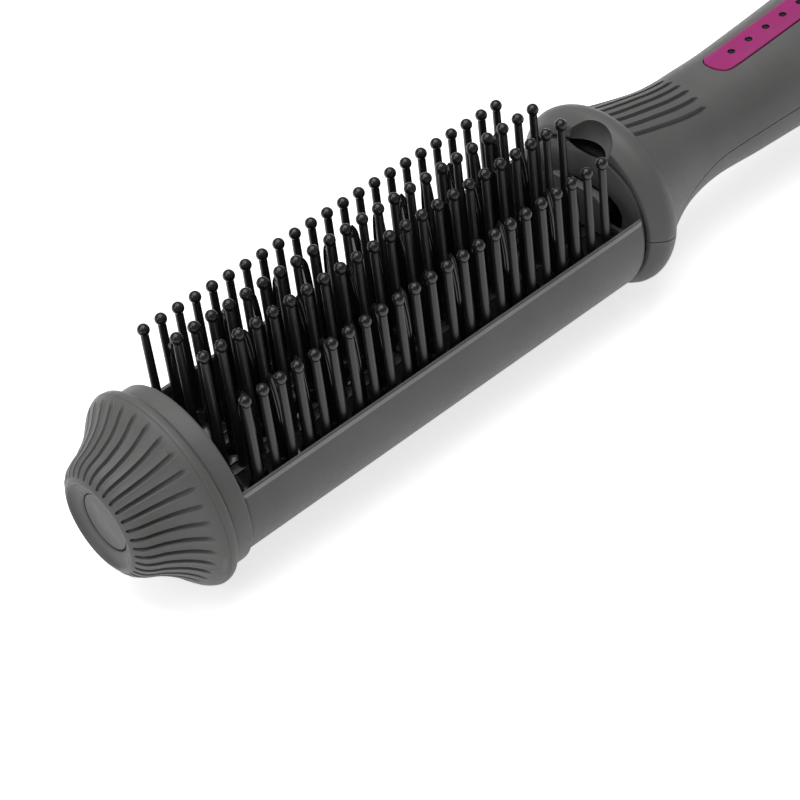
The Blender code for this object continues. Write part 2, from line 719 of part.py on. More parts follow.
def build_bristles(parent, material, fin_material):
    """Four pin strips and three fin strips side by side on the bed."""
    edge = bed_half_width(STRIP_BOTTOM)
    outer_near = OUTER_ROW_Y - OUTER_STRIP_REACH
    inner_near = INNER_ROW_Y - INNER_STRIP_HALF
    inner_far = INNER_ROW_Y + INNER_STRIP_HALF
    for word, side in (("left", 1), ("right", -1)):
        build_pin_strip(
            f"outer_pin_strip_{word}", side * OUTER_ROW_Y, outer_near, edge, parent, material
        )
        build_pin_strip(
            f"inner_pin_strip_{word}", side * INNER_ROW_Y, inner_near, inner_far, parent, material
        )
        low, high = sorted((side * (inner_far + CLEARANCE), side * (outer_near - CLEARANCE)))
        build_fin_strip(
            f"fin_strip_{word}",
            side * SIDE_FIN_Y,
            low,
            high,
            SIDE_FIN_COUNT,
            FIRST_FIN_S,
            parent,
            fin_material,
        )
    half = inner_near - CLEARANCE
    build_fin_strip(
        "fin_strip_centre",
        0.0,
        -half,
        half,
        SIDE_FIN_COUNT - 1,
        FIRST_FIN_S + FIN_PITCH / 2,
        parent,
        fin_material,
    )


# The head's end plate


def outlet_outline():
    """The arch of the air outlet, from its foot on the bed to its flat top."""
    right = [(PLATE_RADIUS * OUTLET_FOOT_SHARE, STRIP_TOP)]
    right += [(PLATE_RADIUS * y, PLATE_RADIUS * z) for y, z in OUTLET_SHARES]
    return right + [(-y, z) for y, z in reversed(right)]


def build_end_plate(parent, material):
    """The plate behind the bristles with its air outlet and the spigot that plugs in."""
    bm = bmesh.new()
    sections = [
        ring(PLATE_S, PLATE_RADIUS - RIM_CHAMFER / 2),
        ring(PLATE_S + RIM_CHAMFER / 2, PLATE_RADIUS),
        ring(PLATE_BACK_S, PLATE_RADIUS),
        ring(PLATE_BACK_S, SPIGOT_RADIUS),
        ring(SPIGOT_END_S, SPIGOT_RADIUS),
        ring(SPIGOT_END_S, SPIGOT_RADIUS - SPIGOT_WALL),
        ring(PLATE_S + PLATE_THICK / 2, SPIGOT_RADIUS - SPIGOT_WALL),
    ]
    loft(bm, sections)
    obj = finish("end_plate", bm, parent, material)
    outlet = bmesh.new()
    prism(outlet, outlet_outline(), PLATE_S - CUT_OVERRUN, PLATE_S + PLATE_THICK * PLATE_FACE_SHARE)
    combine(obj, finish("end_plate_outlet_cutter", outlet, parent), "DIFFERENCE")
    tongue = bmesh.new()
    outline = half_disc(BARREL_INSIDE - CLEARANCE, TONGUE_TOP)
    prism(tongue, outline, BARREL_END_S - TONGUE_LENGTH, PLATE_S + PLATE_THICK / 4)
    combine(obj, finish("end_plate_tongue", tongue, parent), "UNION")
    return obj


def build_outlet_core(parent, material):
    """The block in the air outlet that spreads the air along the bed."""
    bm = bmesh.new()
    half, top = (PLATE_RADIUS * share for share in OUTLET_CORE_SHARES)
    edge = OUTLET_CORE_CHAMFER
    shoulder = top - edge
    foot = STRIP_TOP + CLEARANCE
    outline = [
        (-half, foot),
        (half, foot),
        (half, shoulder),
        (half - edge, top),
        (-half + edge, top),
        (-half, shoulder),
    ]
    start = PLATE_S - OUTLET_CORE_PROUD
    back_share = (SPIGOT_RADIUS - SPIGOT_WALL - CLEARANCE * 2) / math.hypot(half, shoulder)
    stations = (
        (start, 1.0),
        (PLATE_S + PLATE_THICK / 2, min(1.0, back_share)),
        (start + OUTLET_CORE_LENGTH, OUTLET_CORE_END_SHARE),
    )
    sections = []
    for s, share in stations:
        sections.append([Vector((s, y * share, z * share)) for y, z in outline])
    loft(bm, sections)
    return finish("outlet_core", bm, parent, material)


# The handle's shells


def smooth_step(share):
    """Ease from 0 to 1."""
    share = min(1.0, max(0.0, share))
    return share * share * (3 - 2 * share)


def between(low, high, share):
    """The value a share of the way from low to high."""
    return low + (high - low) * share


def shell_radius(s):
    """The handle's outer radius: collar, slim neck, grip and flared rear end."""
    if s <= COLLAR_END_S:
        share = max(0.0, (s - COLLAR_S) / COLLAR_LENGTH)
        widest = COLLAR_RADIUS + COLLAR_BULGE
        if share < COLLAR_BULGE_SHARE:
            turn = math.pi / 2 * share / COLLAR_BULGE_SHARE
            return between(COLLAR_FRONT_RADIUS, widest, math.sin(turn))
        fall = (share - COLLAR_BULGE_SHARE) / (1 - COLLAR_BULGE_SHARE)
        return between(widest, COLLAR_RADIUS, fall**2)
    if s <= NECK_S:
        share = (NECK_S - s) / (NECK_S - COLLAR_END_S)
        return between(NECK_RADIUS, COLLAR_RADIUS - SHELL_WALL / 2, share**NECK_SLOPE)
    if s <= GRIP_S:
        return between(NECK_RADIUS, GRIP_RADIUS, ((s - NECK_S) / (GRIP_S - NECK_S)) ** 1.4)
    share = (s - GRIP_S) / (SHELL_END_S - GRIP_S)
    flare = 0.35 * share + 0.65 * smooth_step(share)
    return between(GRIP_RADIUS, REAR_RADIUS, flare)


def shell_lift(s):
    """How far the handle's middle stands above the barrel's axis."""
    if s <= COLLAR_END_S:
        return 0.0
    if s <= NECK_S:
        share = (s - COLLAR_END_S) / (NECK_S - COLLAR_END_S)
        return NECK_LIFT * math.sin(min(1.0, share * 1.85) * math.pi / 2)
    if s <= GRIP_S:
        return between(NECK_LIFT, GRIP_LIFT, smooth_step((s - NECK_S) / NECK_SETTLE))
    return GRIP_LIFT * (1 - smooth_step((s - GRIP_S) / (SHELL_END_S - GRIP_S)))


def parting(s):
    """The height at which the two shells meet."""
    if s <= COLLAR_END_S:
        return between(PARTING_FRONT, PARTING_RIDGE, ((s - COLLAR_S) / COLLAR_LENGTH) ** 2)
    share = smooth_step((s - COLLAR_END_S) / NECK_LENGTH)
    return between(PARTING_RIDGE, PARTING_BACK, share)


def shell_bore(s):
    """The inner radius of the shells."""
    if s <= COLLAR_END_S - SHELL_WALL:
        return COLLAR_BORE
    share = (s - COLLAR_END_S + SHELL_WALL) / (SHELL_WALL * 2)
    if share < 1:
        return between(COLLAR_BORE, shell_radius(COLLAR_END_S + SHELL_WALL) - SHELL_WALL, share)
    return shell_radius(s) - SHELL_WALL


def top_of_shell(s, y):
    """The height of the handle's top surface at a place."""
    return shell_lift(s) + math.sqrt(shell_radius(s) ** 2 - y**2)


COLLAR_STATION_SHARES = (0, 0.06, 0.18, 0.34, 0.5, 0.75, 1)
NECK_STATION_SHARES = (0.05, 0.15, 0.28, 0.42, 0.58, 0.76, 1)


def shell_stations():
    """Where the shells have a cross-section."""
    stations = [between(COLLAR_S, COLLAR_END_S, share) for share in COLLAR_STATION_SHARES]
    stations.append(COLLAR_END_S + CLEARANCE / 2)
    stations += [between(COLLAR_END_S, NECK_S, share) for share in NECK_STATION_SHARES]
    stations += [between(NECK_S, GRIP_S, i / 4) for i in range(1, 5)]
    stations += [between(GRIP_S, SHELL_END_S, i / 8) for i in range(1, 9)]
    return stations


def shell_section(s, side):
    """A half-round section of a shell, from one edge of the parting plane to the other."""
    points = []
    lift = shell_lift(s)
    edge_height = parting(s) + side * CLEARANCE / 2 - lift
    for radius, steps, forward in (
        (shell_radius(s), SHELL_SIDES, True),
        (shell_bore(s), SHELL_INNER_SIDES, False),
    ):
        edge = math.asin(edge_height / radius)
        first, last = edge, side * math.pi - edge
        if not forward:
            first, last = last, first
        for i in range(steps + 1):
            angle = between(first, last, i / steps)
            place = Vector((s, radius * math.cos(angle), lift + radius * math.sin(angle)))
            points.append(place)
    return points


def build_half(name, side, parent, material):
    """One half of the handle: the upper for side 1, the lower for side -1."""
    bm = bmesh.new()
    loft(bm, [shell_section(s, side) for s in shell_stations()])
    return finish(name, bm, parent, material, crease_degrees=35)


def strip_half_width(s, half):
    """Half the control strip's width, with round ends."""
    from_end = min(s - (STRIP_START_S - (half - STRIP_HALF)), STRIP_END_S + (half - STRIP_HALF) - s)
    if from_end >= half:
        return half
    inside = max(0.0, from_end)
    return max(CLEARANCE, math.sqrt(half**2 - (half - inside) ** 2))


STRIP_END_SHARES = (0, 0.12, 0.4, 0.7)


def strip_solid(bm, half, proud, depth):
    """The control strip's shape, laid along the top of the handle."""
    extra = half - STRIP_HALF
    start = STRIP_START_S - extra
    end = STRIP_END_S + extra
    straight = 9
    stations = [start + half * share for share in STRIP_END_SHARES]
    stations += [between(start + half, end - half, i / straight) for i in range(straight + 1)]
    stations += [end - half * share for share in reversed(STRIP_END_SHARES)]
    sections = []
    for s in stations:
        width = strip_half_width(s, half)
        across = (-1.0, -0.5, 0.0, 0.5, 1.0)
        top = [(width * share, proud) for share in across]
        bottom = [(width * share, -depth) for share in reversed(across)]
        sections.append([Vector((s, y, top_of_shell(s, y) + rise)) for y, rise in top + bottom])
    loft(bm, sections)


def neck_groove_cutter(bm, y):
    """A thin curved wedge that cuts one groove in the neck."""
    steps = 9
    outline = []
    for i in range(steps + 1):
        share = i / steps
        s = between(NECK_GROOVE_START_S, NECK_GROOVE_END_S, share)
        ease = min(1.0, 4 * share, 4 * (1 - share))
        outline.append((s, top_of_shell(s, y) - NECK_GROOVE_DEPTH * ease - CLEARANCE / 3))
    above = [(s, z + NECK_GROOVE_DEPTH + CUT_OVERRUN) for s, z in reversed(outline)]
    sides = []
    for half in (-NECK_GROOVE_WIDTH / 2, NECK_GROOVE_WIDTH / 2):
        sides.append([Vector((s, y + half, z)) for s, z in outline + above])
    loft(bm, sides)


def oval(s, half_length, half_width, low, high, bm, segments=16):
    """An upright oval pillar: straight sides along the brush and round ends."""
    rings = []
    straight = half_length - half_width
    for z in (low, high):
        points = []
        for i in range(segments):
            angle = 2 * math.pi * (i + 0.5) / segments
            shift = math.copysign(straight, math.cos(angle))
            place = (s + shift + half_width * math.cos(angle), half_width * math.sin(angle), z)
            points.append(Vector(place))
        rings.append(points)
    loft(bm, rings)


def control_openings(bm):
    """The two through holes for the button and the slider's stem."""
    low = top_of_shell(BUTTON_S, 0) - SHELL_WALL - CUT_OVERRUN
    high = top_of_shell(SLIDER_S, 0) + CUT_OVERRUN * 2
    room = CLEARANCE
    oval(BUTTON_S, BUTTON_HALF_LENGTH + room, BUTTON_HALF_WIDTH + room, low, high, bm)
    middle = between(SLIDER_S, SLIDER_LAST_S, 0.5)
    length = SLIDER_STEM_HALF_LENGTH + SLIDER_TRAVEL / 2 + room
    width = SLIDER_STEM_HALF_WIDTH + room
    block(bm, (middle - length, -width, low), (middle + length, width, high))


def boss_place(s):
    """The lowest point inside the shells at a screw."""
    return shell_lift(s) - shell_bore(s)


def pillar(bm, s, levels, segments=12):
    """An upright round bar on the brush's middle plane, with a (height, radius) for each step."""
    rings = []
    for z, radius in levels:
        points = []
        for i in range(segments):
            angle = 2 * math.pi * i / segments
            points.append(Vector((s + radius * math.cos(angle), radius * math.sin(angle), z)))
        rings.append(points)
    loft(bm, rings)


def screw_levels(s):
    """(head's low face, head's top face, shank's end) of a shell screw."""
    outside = shell_lift(s) - shell_radius(s)
    head_low = outside + SCREW_HEAD_THICK / 2
    return head_low, head_low + SCREW_HEAD_THICK, parting(s) + SCREW_BOSS_RISE


def backing_outline(room):
    """The (y, z) outline of the block under the scoop, grown by some room."""
    top = 90 - SCOOP_BACKING_DEGREES
    reach = BACKING_RADIUS * math.cos(math.radians(top))
    half = reach * SCOOP_BACKING_FOOT_SHARE + room
    low = COLLAR_BORE - SCOOP_BACKING_DEPTH - room
    return arc(BACKING_RADIUS, top, 180 - top, 6) + [(-half, low), (half, low)]


def build_upper_shell(parent, material):
    """The upper half: scoop, neck grooves, strip channel and holes for the controls."""
    obj = build_half("handle_upper_shell", 1, parent, material)
    webs = bmesh.new()
    bosses = bmesh.new()
    for s in SCREW_PLACES:
        half = SCREW_WEB_HALF
        reach = shell_bore(s - half) + SHELL_WALL / 3
        low = parting(s) + CLEARANCE
        block(webs, (s - half, -reach, low), (s + half, reach, low + SCREW_WEB_HEIGHT))
        foot = parting(s) + CLEARANCE / 2
        pillar(bosses, s, ((foot, SCREW_BOSS_RADIUS), (screw_levels(s)[2], SCREW_BOSS_RADIUS)))
    combine(obj, finish("upper_webs", webs, parent), "UNION")
    combine(obj, finish("upper_bosses", bosses, parent), "UNION")
    holes = bmesh.new()
    for s in SCREW_PLACES:
        bore = SCREW_SHANK_RADIUS + CLEARANCE
        low = parting(s) - CUT_OVERRUN
        pillar(holes, s, ((low, bore), (screw_levels(s)[2] + CUT_OVERRUN, bore)))
    combine(obj, finish("upper_boss_holes", holes, parent), "DIFFERENCE")
    backing = bmesh.new()
    prism(backing, backing_outline(0.0), BACKING_S, COLLAR_END_S - CLEARANCE)
    combine(obj, finish("scoop_backing", backing, parent), "UNION")
    scoop = bmesh.new()
    bmesh.ops.create_uvsphere(scoop, u_segments=20, v_segments=12, radius=SCOOP_RADIUS)
    centre = Vector((COLLAR_S - SCOOP_AHEAD, 0, COLLAR_RADIUS + SCOOP_RISE))
    bmesh.ops.translate(scoop, verts=scoop.verts, vec=centre)
    combine(obj, finish("scoop_cutter", scoop, parent), "DIFFERENCE")
    grooves = bmesh.new()
    for i in range(NECK_GROOVES):
        neck_groove_cutter(grooves, (i - (NECK_GROOVES - 1) / 2) * NECK_GROOVE_PITCH)
    combine(obj, finish("neck_groove_cutter", grooves, parent), "DIFFERENCE")
    channel = bmesh.new()
    strip_solid(channel, STRIP_HALF + CLEARANCE, CUT_OVERRUN, STRIP_DEPTH + CLEARANCE)
    combine(obj, finish("strip_channel_cutter", channel, parent), "DIFFERENCE")
    openings = bmesh.new()
    control_openings(openings)
    combine(obj, finish("shell_control_cutter", openings, parent), "DIFFERENCE")
    return obj


def build_lower_shell(parent, material):
    """The lower half, with a small flat to stand on and bosses for its screws."""
    obj = build_half("handle_lower_shell", -1, parent, material)
    bosses = bmesh.new()
    for s in SCREW_PLACES:
        low = boss_place(s) - SHELL_WALL / 2
        high = parting(s) - CLEARANCE / 2
        pillar(bosses, s, ((low, SCREW_BOSS_RADIUS), (high, SCREW_BOSS_RADIUS)))
    combine(obj, finish("lower_bosses", bosses, parent), "UNION")
    holes = bmesh.new()
    for s in SCREW_PLACES:
        head_low, head_top, _ = screw_levels(s)
        low = head_low - SCREW_HEAD_THICK - CUT_OVERRUN
        seat = head_top + CLEARANCE
        wide = SCREW_HEAD_RADIUS + CLEARANCE
        bore = SCREW_SHANK_RADIUS + CLEARANCE
        high = parting(s) + CUT_OVERRUN
        pillar(holes, s, ((low, wide), (seat, wide), (seat, bore), (high, bore)))
    combine(obj, finish("lower_boss_holes", holes, parent), "DIFFERENCE")
    rest = bmesh.new()
    block(
        rest,
        (COLLAR_S, -REAR_RADIUS, -REAR_RADIUS - CUT_OVERRUN),
        (SHELL_END_S + CUT_OVERRUN, REAR_RADIUS, -AXIS_HEIGHT),
    )
    combine(obj, finish("rear_rest_cutter", rest, parent), "DIFFERENCE")
    return obj


def build_shell_screws(parent, material):
    """The screws that pull the two shells together, one node each."""
    names = ("shell_screw_front", "shell_screw_rear")
    for name, s in zip(names, SCREW_PLACES):
        head_low, head_top, end = screw_levels(s)
        levels = (
            (head_low, SCREW_HEAD_RADIUS),
            (head_top, SCREW_HEAD_RADIUS),
            (head_top, SCREW_SHANK_RADIUS),
            (end, SCREW_SHANK_RADIUS),
        )
        bm = bmesh.new()
        pillar(bm, s, levels)
        finish(name, bm, parent, material)


# The control strip, slider and button


def build_control_strip(parent, material):
    """The coloured strip on top of the handle, with its row of round dimples."""
    bm = bmesh.new()
    strip_solid(bm, STRIP_HALF, STRIP_PROUD, STRIP_DEPTH)
    obj = finish("control_strip", bm, parent, material)
    dots = bmesh.new()
    for i in range(DOT_COUNT):
        s = DOT_START_S + i * DOT_PITCH
        top = top_of_shell(s, 0) + STRIP_PROUD
        pillar(dots, s, ((top - DOT_DEPTH, DOT_RADIUS), (top + CUT_OVERRUN, DOT_RADIUS)), 10)
    combine(obj, finish("dimple_cutter", dots, parent), "DIFFERENCE")
    openings = bmesh.new()
    control_openings(openings)
    combine(obj, finish("strip_control_cutter", openings, parent), "DIFFERENCE")
    return obj


def surface_slope(first_s, last_s):
    """The rise per length of the handle's top line."""
    return (top_of_shell(last_s, 0) - top_of_shell(first_s, 0)) / (last_s - first_s)


def button_lip_top():
    """The highest that the button's inner lip can reach under the shell."""
    reach = BUTTON_HALF_WIDTH + BUTTON_LIP
    inside = shell_bore(BUTTON_S - BUTTON_HALF_LENGTH)
    lowest = shell_lift(BUTTON_S) + math.sqrt(inside**2 - reach**2)
    return lowest - CLEARANCE


def button_foot():
    """The underside of the push button, inside the handle."""
    return button_lip_top() - BUTTON_LIP


def build_button(parent, material):
    """The cool-air push button, with a lip wider than its hole to keep it in."""
    bm = bmesh.new()
    edge = BUTTON_PROUD / 2
    top = top_of_shell(BUTTON_S, 0) + STRIP_PROUD + BUTTON_PROUD
    slope = surface_slope(BUTTON_S - BUTTON_HALF_LENGTH, BUTTON_S + BUTTON_HALF_LENGTH)
    levels = (
        (button_foot(), BUTTON_LIP, 0.0),
        (button_lip_top(), BUTTON_LIP, 0.0),
        (button_lip_top(), 0.0, 0.0),
        (top - edge, 0.0, slope),
        (top, -edge, slope),
    )
    rings = []
    segments = 16
    straight = BUTTON_HALF_LENGTH - BUTTON_HALF_WIDTH
    for z, grow, tilt in levels:
        width = BUTTON_HALF_WIDTH + grow
        points = []
        for i in range(segments):
            angle = 2 * math.pi * (i + 0.5) / segments
            along = math.copysign(straight, math.cos(angle)) + width * math.cos(angle)
            height = z + tilt * along
            points.append(Vector((BUTTON_S + along, width * math.sin(angle), height)))
        rings.append(points)
    loft(bm, rings)
    return finish("cool_button", bm, parent, material)


def slider_slope():
    """The slope of the handle's top line under the slider's whole way."""
    return surface_slope(
        SLIDER_S - SLIDER_HALF_LENGTH, SLIDER_S + SLIDER_TRAVEL + SLIDER_HALF_LENGTH
    )


def slider_base():
    """The lowest height over SLIDER_S at which the sloping cap clears the strip all the way."""
    slope = slider_slope()
    steps = 12
    highest = None
    for i in range(steps + 1):
        along = between(-SLIDER_HALF_LENGTH, SLIDER_TRAVEL + SLIDER_HALF_LENGTH, i / steps)
        height = top_of_shell(SLIDER_S + along, 0) - slope * along
        highest = height if highest is None else max(highest, height)
    return highest + STRIP_PROUD + CLEARANCE


def slider_foot():
    """The underside of the slider's stem."""
    return top_of_shell(SLIDER_S, 0) - SHELL_WALL - 2 * CLEARANCE


def build_slider(parent, material):
    """The speed slider: a ribbed cap on a stem through the slot."""
    bm = bmesh.new()
    base = slider_base()
    slope = slider_slope()
    edge = SLIDER_HEIGHT / 3
    half = SLIDER_HALF_LENGTH
    pitch = (half - edge) / SLIDER_RIBS
    outline = [(-half, 0.0), (-half, SLIDER_HEIGHT - edge)]
    for i in range(SLIDER_RIBS * 2 + 1):
        rise = 0.0 if i % 2 == 0 else edge
        outline.append((-half + edge + i * pitch, SLIDER_HEIGHT - rise))
    outline += [(half, SLIDER_HEIGHT - edge), (half, 0.0)]
    sides = []
    for y in (-SLIDER_HALF_WIDTH, SLIDER_HALF_WIDTH):
        sides.append([Vector((SLIDER_S + s, y, base + z + slope * s)) for s, z in outline])
    loft(bm, sides)
    obj = finish("speed_slider", bm, parent, material)
    stem = bmesh.new()
    low = (SLIDER_S - SLIDER_STEM_HALF_LENGTH, -SLIDER_STEM_HALF_WIDTH, slider_foot())
    high = (SLIDER_S + SLIDER_STEM_HALF_LENGTH, SLIDER_STEM_HALF_WIDTH, base + edge)
    block(stem, low, high)
    combine(obj, finish("slider_stem", stem, parent), "UNION")
    return obj


# Inside the handle


def build_socket_ring(parent, material):
    """The ring inside the collar that the head's spigot plugs into, notched under the scoop."""
    bm = bmesh.new()
    bore = SPIGOT_RADIUS + CLEARANCE
    outside = COLLAR_BORE * SHELL_FACET_SHARE - CLEARANCE
    start = BACKING_S
    end = start + SOCKET_THICK
    profile = [(start, bore), (start, outside), (end, outside), (end, bore)]
    turned(bm, profile, INSIDE_SEGMENTS)
    obj = finish("socket_ring", bm, parent, material)
    notch = bmesh.new()
    prism(notch, backing_outline(CLEARANCE), start - CUT_OVERRUN, end + CUT_OVERRUN)
    combine(obj, finish("socket_notch_cutter", notch, parent), "DIFFERENCE")
    return obj


def build_heater_sleeve(parent, material):
    """The thin insulating tube round the heater."""
    bm = bmesh.new()
    bore = SLEEVE_RADIUS - SLEEVE_WALL
    profile = [
        (SLEEVE_S, bore),
        (SLEEVE_S, SLEEVE_RADIUS),
        (SLEEVE_END_S, SLEEVE_RADIUS),
        (SLEEVE_END_S, bore),
    ]
    turned(bm, profile, INSIDE_SEGMENTS, SLEEVE_LIFT)
    return finish("heater_sleeve", bm, parent, material)


def heater_frame_reach():
    """How far the heater's boards reach from the sleeve's middle."""
    wire = 2 * HEATER_WIRE_RADIUS + 2 * HEATER_ROOM
    return (SLEEVE_RADIUS - SLEEVE_WALL) * math.cos(math.pi / INSIDE_SEGMENTS) - wire


def build_heater_frame(parent, material):
    """Two crossed insulating boards that carry the heating wire."""
    reach = heater_frame_reach() - HEATER_ROOM
    half = HEATER_BOARD_THICK / 2
    bm = bmesh.new()
    outline = []
    for y, z in (
        (half, half),
        (half, reach),
        (-half, reach),
        (-half, half),
        (-reach, half),
        (-reach, -half),
        (-half, -half),
        (-half, -reach),
        (half, -reach),
        (half, -half),
        (reach, -half),
        (reach, half),
    ):
        outline.append((y, z + SLEEVE_LIFT))
    prism(bm, outline, SLEEVE_S, SLEEVE_END_S)
    return finish("heater_frame", bm, parent, material)


def build_heating_wire(parent, material):
    """The wound heating wire, one unbroken helix round the boards."""
    radius = heater_frame_reach() + HEATER_WIRE_RADIUS
    count = HEATER_TURNS * HEATER_TURN_POINTS
    inset = 4 * HEATER_WIRE_RADIUS
    start = SLEEVE_S + inset
    length = SLEEVE_LENGTH - 2 * inset
    bm = bmesh.new()
    sections = []
    for i in range(count + 1):
        share = i / count
        angle = 2 * math.pi * HEATER_TURNS * share
        centre = Vector((start + length * share, radius * math.cos(angle), radius * math.sin(angle)))
        outward = Vector((0, math.cos(angle), math.sin(angle)))
        along = Vector((1, 0, 0))
        corner = []
        for quarter in range(4):
            turn = math.pi / 2 * quarter
            offset = outward * math.cos(turn) + along * math.sin(turn)
            corner.append(centre + offset * HEATER_WIRE_RADIUS + Vector((0, 0, SLEEVE_LIFT)))
        sections.append(corner)
    loft(bm, sections)
    return finish("heating_wire", bm, parent, material)


def build_thermostat(parent, material):
    """The round cut-out at the heater's rear end."""
    bm = bmesh.new()
    end = THERMOSTAT_S + THERMOSTAT_THICK
    rod(bm, THERMOSTAT_S, end, THERMOSTAT_RADIUS, SLEEVE_LIFT, INSIDE_SEGMENTS)
    return finish("thermostat", bm, parent, material)


def build_circuit_board(parent, material):
    """The board under the controls."""
    bm = bmesh.new()
    low = (BOARD_START_S, -BOARD_HALF_WIDTH, BOARD_Z - BOARD_THICK)
    high = (BOARD_END_S, BOARD_HALF_WIDTH, BOARD_Z)
    block(bm, low, high)
    return finish("circuit_board", bm, parent, material)


def build_switches(parent, material):
    """The key switch under the button and the slide switch under the slider."""
    bottom = BOARD_Z + CLEARANCE
    key = bmesh.new()
    half = KEY_SWITCH_HALF
    top = button_foot() - BUTTON_TRAVEL - CLEARANCE
    block(key, (BUTTON_S - half, -half, bottom), (BUTTON_S + half, half, top))
    finish("key_switch", key, parent, material)
    slide = bmesh.new()
    start = SLIDER_S - SLIDER_STEM_HALF_LENGTH - CLEARANCE
    end = SLIDER_S + SLIDER_TRAVEL + SLIDER_STEM_HALF_LENGTH + CLEARANCE
    top = slider_foot() - CLEARANCE
    block(slide, (start, -SWITCH_HALF_WIDTH, bottom), (end, SWITCH_HALF_WIDTH, top))
    finish("slide_switch", slide, parent, material)


def build_motor(parent, material):
    """The motor's can with its bearing nose."""
    bm = bmesh.new()
    bore = SHAFT_RADIUS + CLEARANCE
    edge = MOTOR_NOSE_LENGTH
    profile = (
        (MOTOR_S, MOTOR_RADIUS - edge),
        (MOTOR_S + edge, MOTOR_RADIUS),
        (MOTOR_END_S, MOTOR_RADIUS),
        (MOTOR_END_S, MOTOR_NOSE_RADIUS),
        (MOTOR_END_S + MOTOR_NOSE_LENGTH, MOTOR_NOSE_RADIUS),
        (MOTOR_END_S + MOTOR_NOSE_LENGTH, bore),
        (MOTOR_S + MOTOR_LENGTH * MOTOR_BORE_SHARE, bore),
    )
    loft(bm, [ring(s, radius, 0.0, INSIDE_SEGMENTS) for s, radius in profile])
    return finish("motor", bm, parent, material)


def build_motor_mount(parent, material):
    """The spoked carrier that holds the motor in the middle of the handle."""
    start = MOTOR_END_S - MOUNT_THICK
    hub_in = MOTOR_RADIUS + CLEARANCE
    hub_out = hub_in + MOUNT_HUB_WALL
    rim_out = shell_bore(start) * SHELL_FACET_SHARE - CLEARANCE
    middle = shell_lift(MOTOR_END_S)
    bm = bmesh.new()
    hub = [
        (start, hub_in),
        (start, hub_out),
        (MOTOR_END_S, hub_out),
        (MOTOR_END_S, hub_in),
    ]
    turned(bm, hub, INSIDE_SEGMENTS)
    obj = finish("motor_mount", bm, parent, material)
    rim = bmesh.new()
    rim_in = rim_out - MOUNT_RIM
    outer = [
        (start, rim_in),
        (start, rim_out),
        (MOTOR_END_S, rim_out),
        (MOTOR_END_S, rim_in),
    ]
    turned(rim, outer, INSIDE_SEGMENTS, middle)
    spokes = bmesh.new()
    for i in range(MOUNT_SPOKES):
        angle = 2 * math.pi * i / MOUNT_SPOKES + math.pi / 2
        spoke = bmesh.new()
        inner = hub_out - MOUNT_HUB_WALL / 2
        outer_end = rim_out - MOUNT_RIM / 2
        low = (start, inner, -MOUNT_SPOKE_HALF)
        high = (MOTOR_END_S, outer_end, MOUNT_SPOKE_HALF)
        block(spoke, low, high)
        bmesh.ops.rotate(spoke, verts=spoke.verts, matrix=Matrix.Rotation(angle, 3, "X"))
        mesh = bpy.data.meshes.new("spoke")
        spoke.to_mesh(mesh)
        spoke.free()
        spokes.from_mesh(mesh)
        bpy.data.meshes.remove(mesh)
    combine(obj, finish("mount_spokes", spokes, parent), "UNION")
    combine(obj, finish("mount_rim", rim, parent), "UNION")
    return obj


def fan_radius():
    """The fan reaches to a small gap inside the shells."""
    return shell_bore(FAN_S) * SHELL_FACET_SHARE - shell_lift(FAN_S) - FAN_TIP_GAP


def build_fan(parent, shaft_material, fan_material):
    """The shaft and the fan that it turns."""
    shaft = bmesh.new()
    start = MOTOR_S + MOTOR_LENGTH * MOTOR_BORE_SHARE + CLEARANCE
    end = FAN_S + FAN_HUB_LENGTH
    rod(shaft, start, end, SHAFT_RADIUS, segments=12)
    finish("motor_shaft", shaft, parent, shaft_material)
    bm = bmesh.new()
    bore = SHAFT_RADIUS + SHAFT_ROOM
    hub = [
        (FAN_S, bore),
        (FAN_S, FAN_HUB_RADIUS),
        (FAN_S + FAN_HUB_LENGTH, FAN_HUB_RADIUS),
        (FAN_S + FAN_HUB_LENGTH, bore),
    ]
    turned(bm, hub, INSIDE_SEGMENTS // 2)
    obj = finish("fan", bm, parent, fan_material)
    blades = bmesh.new()
    for i in range(FAN_BLADES):
        blade = bmesh.new()
        inner = FAN_HUB_RADIUS - FAN_BLADE_THICK
        half = FAN_BLADE_THICK / 2
        chord = FAN_BLADE_CHORD / 2
        block(blade, (-chord, -half, inner), (chord, half, fan_radius()))
        twist = Matrix.Rotation(math.radians(FAN_BLADE_DEGREES), 3, "Z")
        bmesh.ops.rotate(blade, verts=blade.verts, matrix=twist)
        around = Matrix.Rotation(2 * math.pi * i / FAN_BLADES, 3, "X")
        bmesh.ops.rotate(blade, verts=blade.verts, matrix=around)
        middle = Vector((FAN_S + FAN_HUB_LENGTH / 2, 0, 0))
        bmesh.ops.translate(blade, verts=blade.verts, vec=middle)
        mesh = bpy.data.meshes.new("blade")
        blade.to_mesh(mesh)
        blade.free()
        blades.from_mesh(mesh)
        bpy.data.meshes.remove(mesh)
    combine(obj, finish("fan_blades", blades, parent), "UNION")
    return obj


# The rear end


def build_filter(parent, material):
    """The thin dust screen inside the rear grille."""
    bm = bmesh.new()
    start = GRILLE_S + CLEARANCE
    bore = GLAND_FLANGE_RADIUS + GLAND_FLANGE_THICK + 2 * CLEARANCE
    outside = REAR_RADIUS - GRILLE_WALL * 1.5 - 2 * CLEARANCE
    profile = [
        (start, bore),
        (start, outside),
        (start + FILTER_THICK, outside),
        (start + FILTER_THICK, bore),
    ]
    turned(bm, profile, INSIDE_SEGMENTS)
    return finish("dust_screen", bm, parent, material)


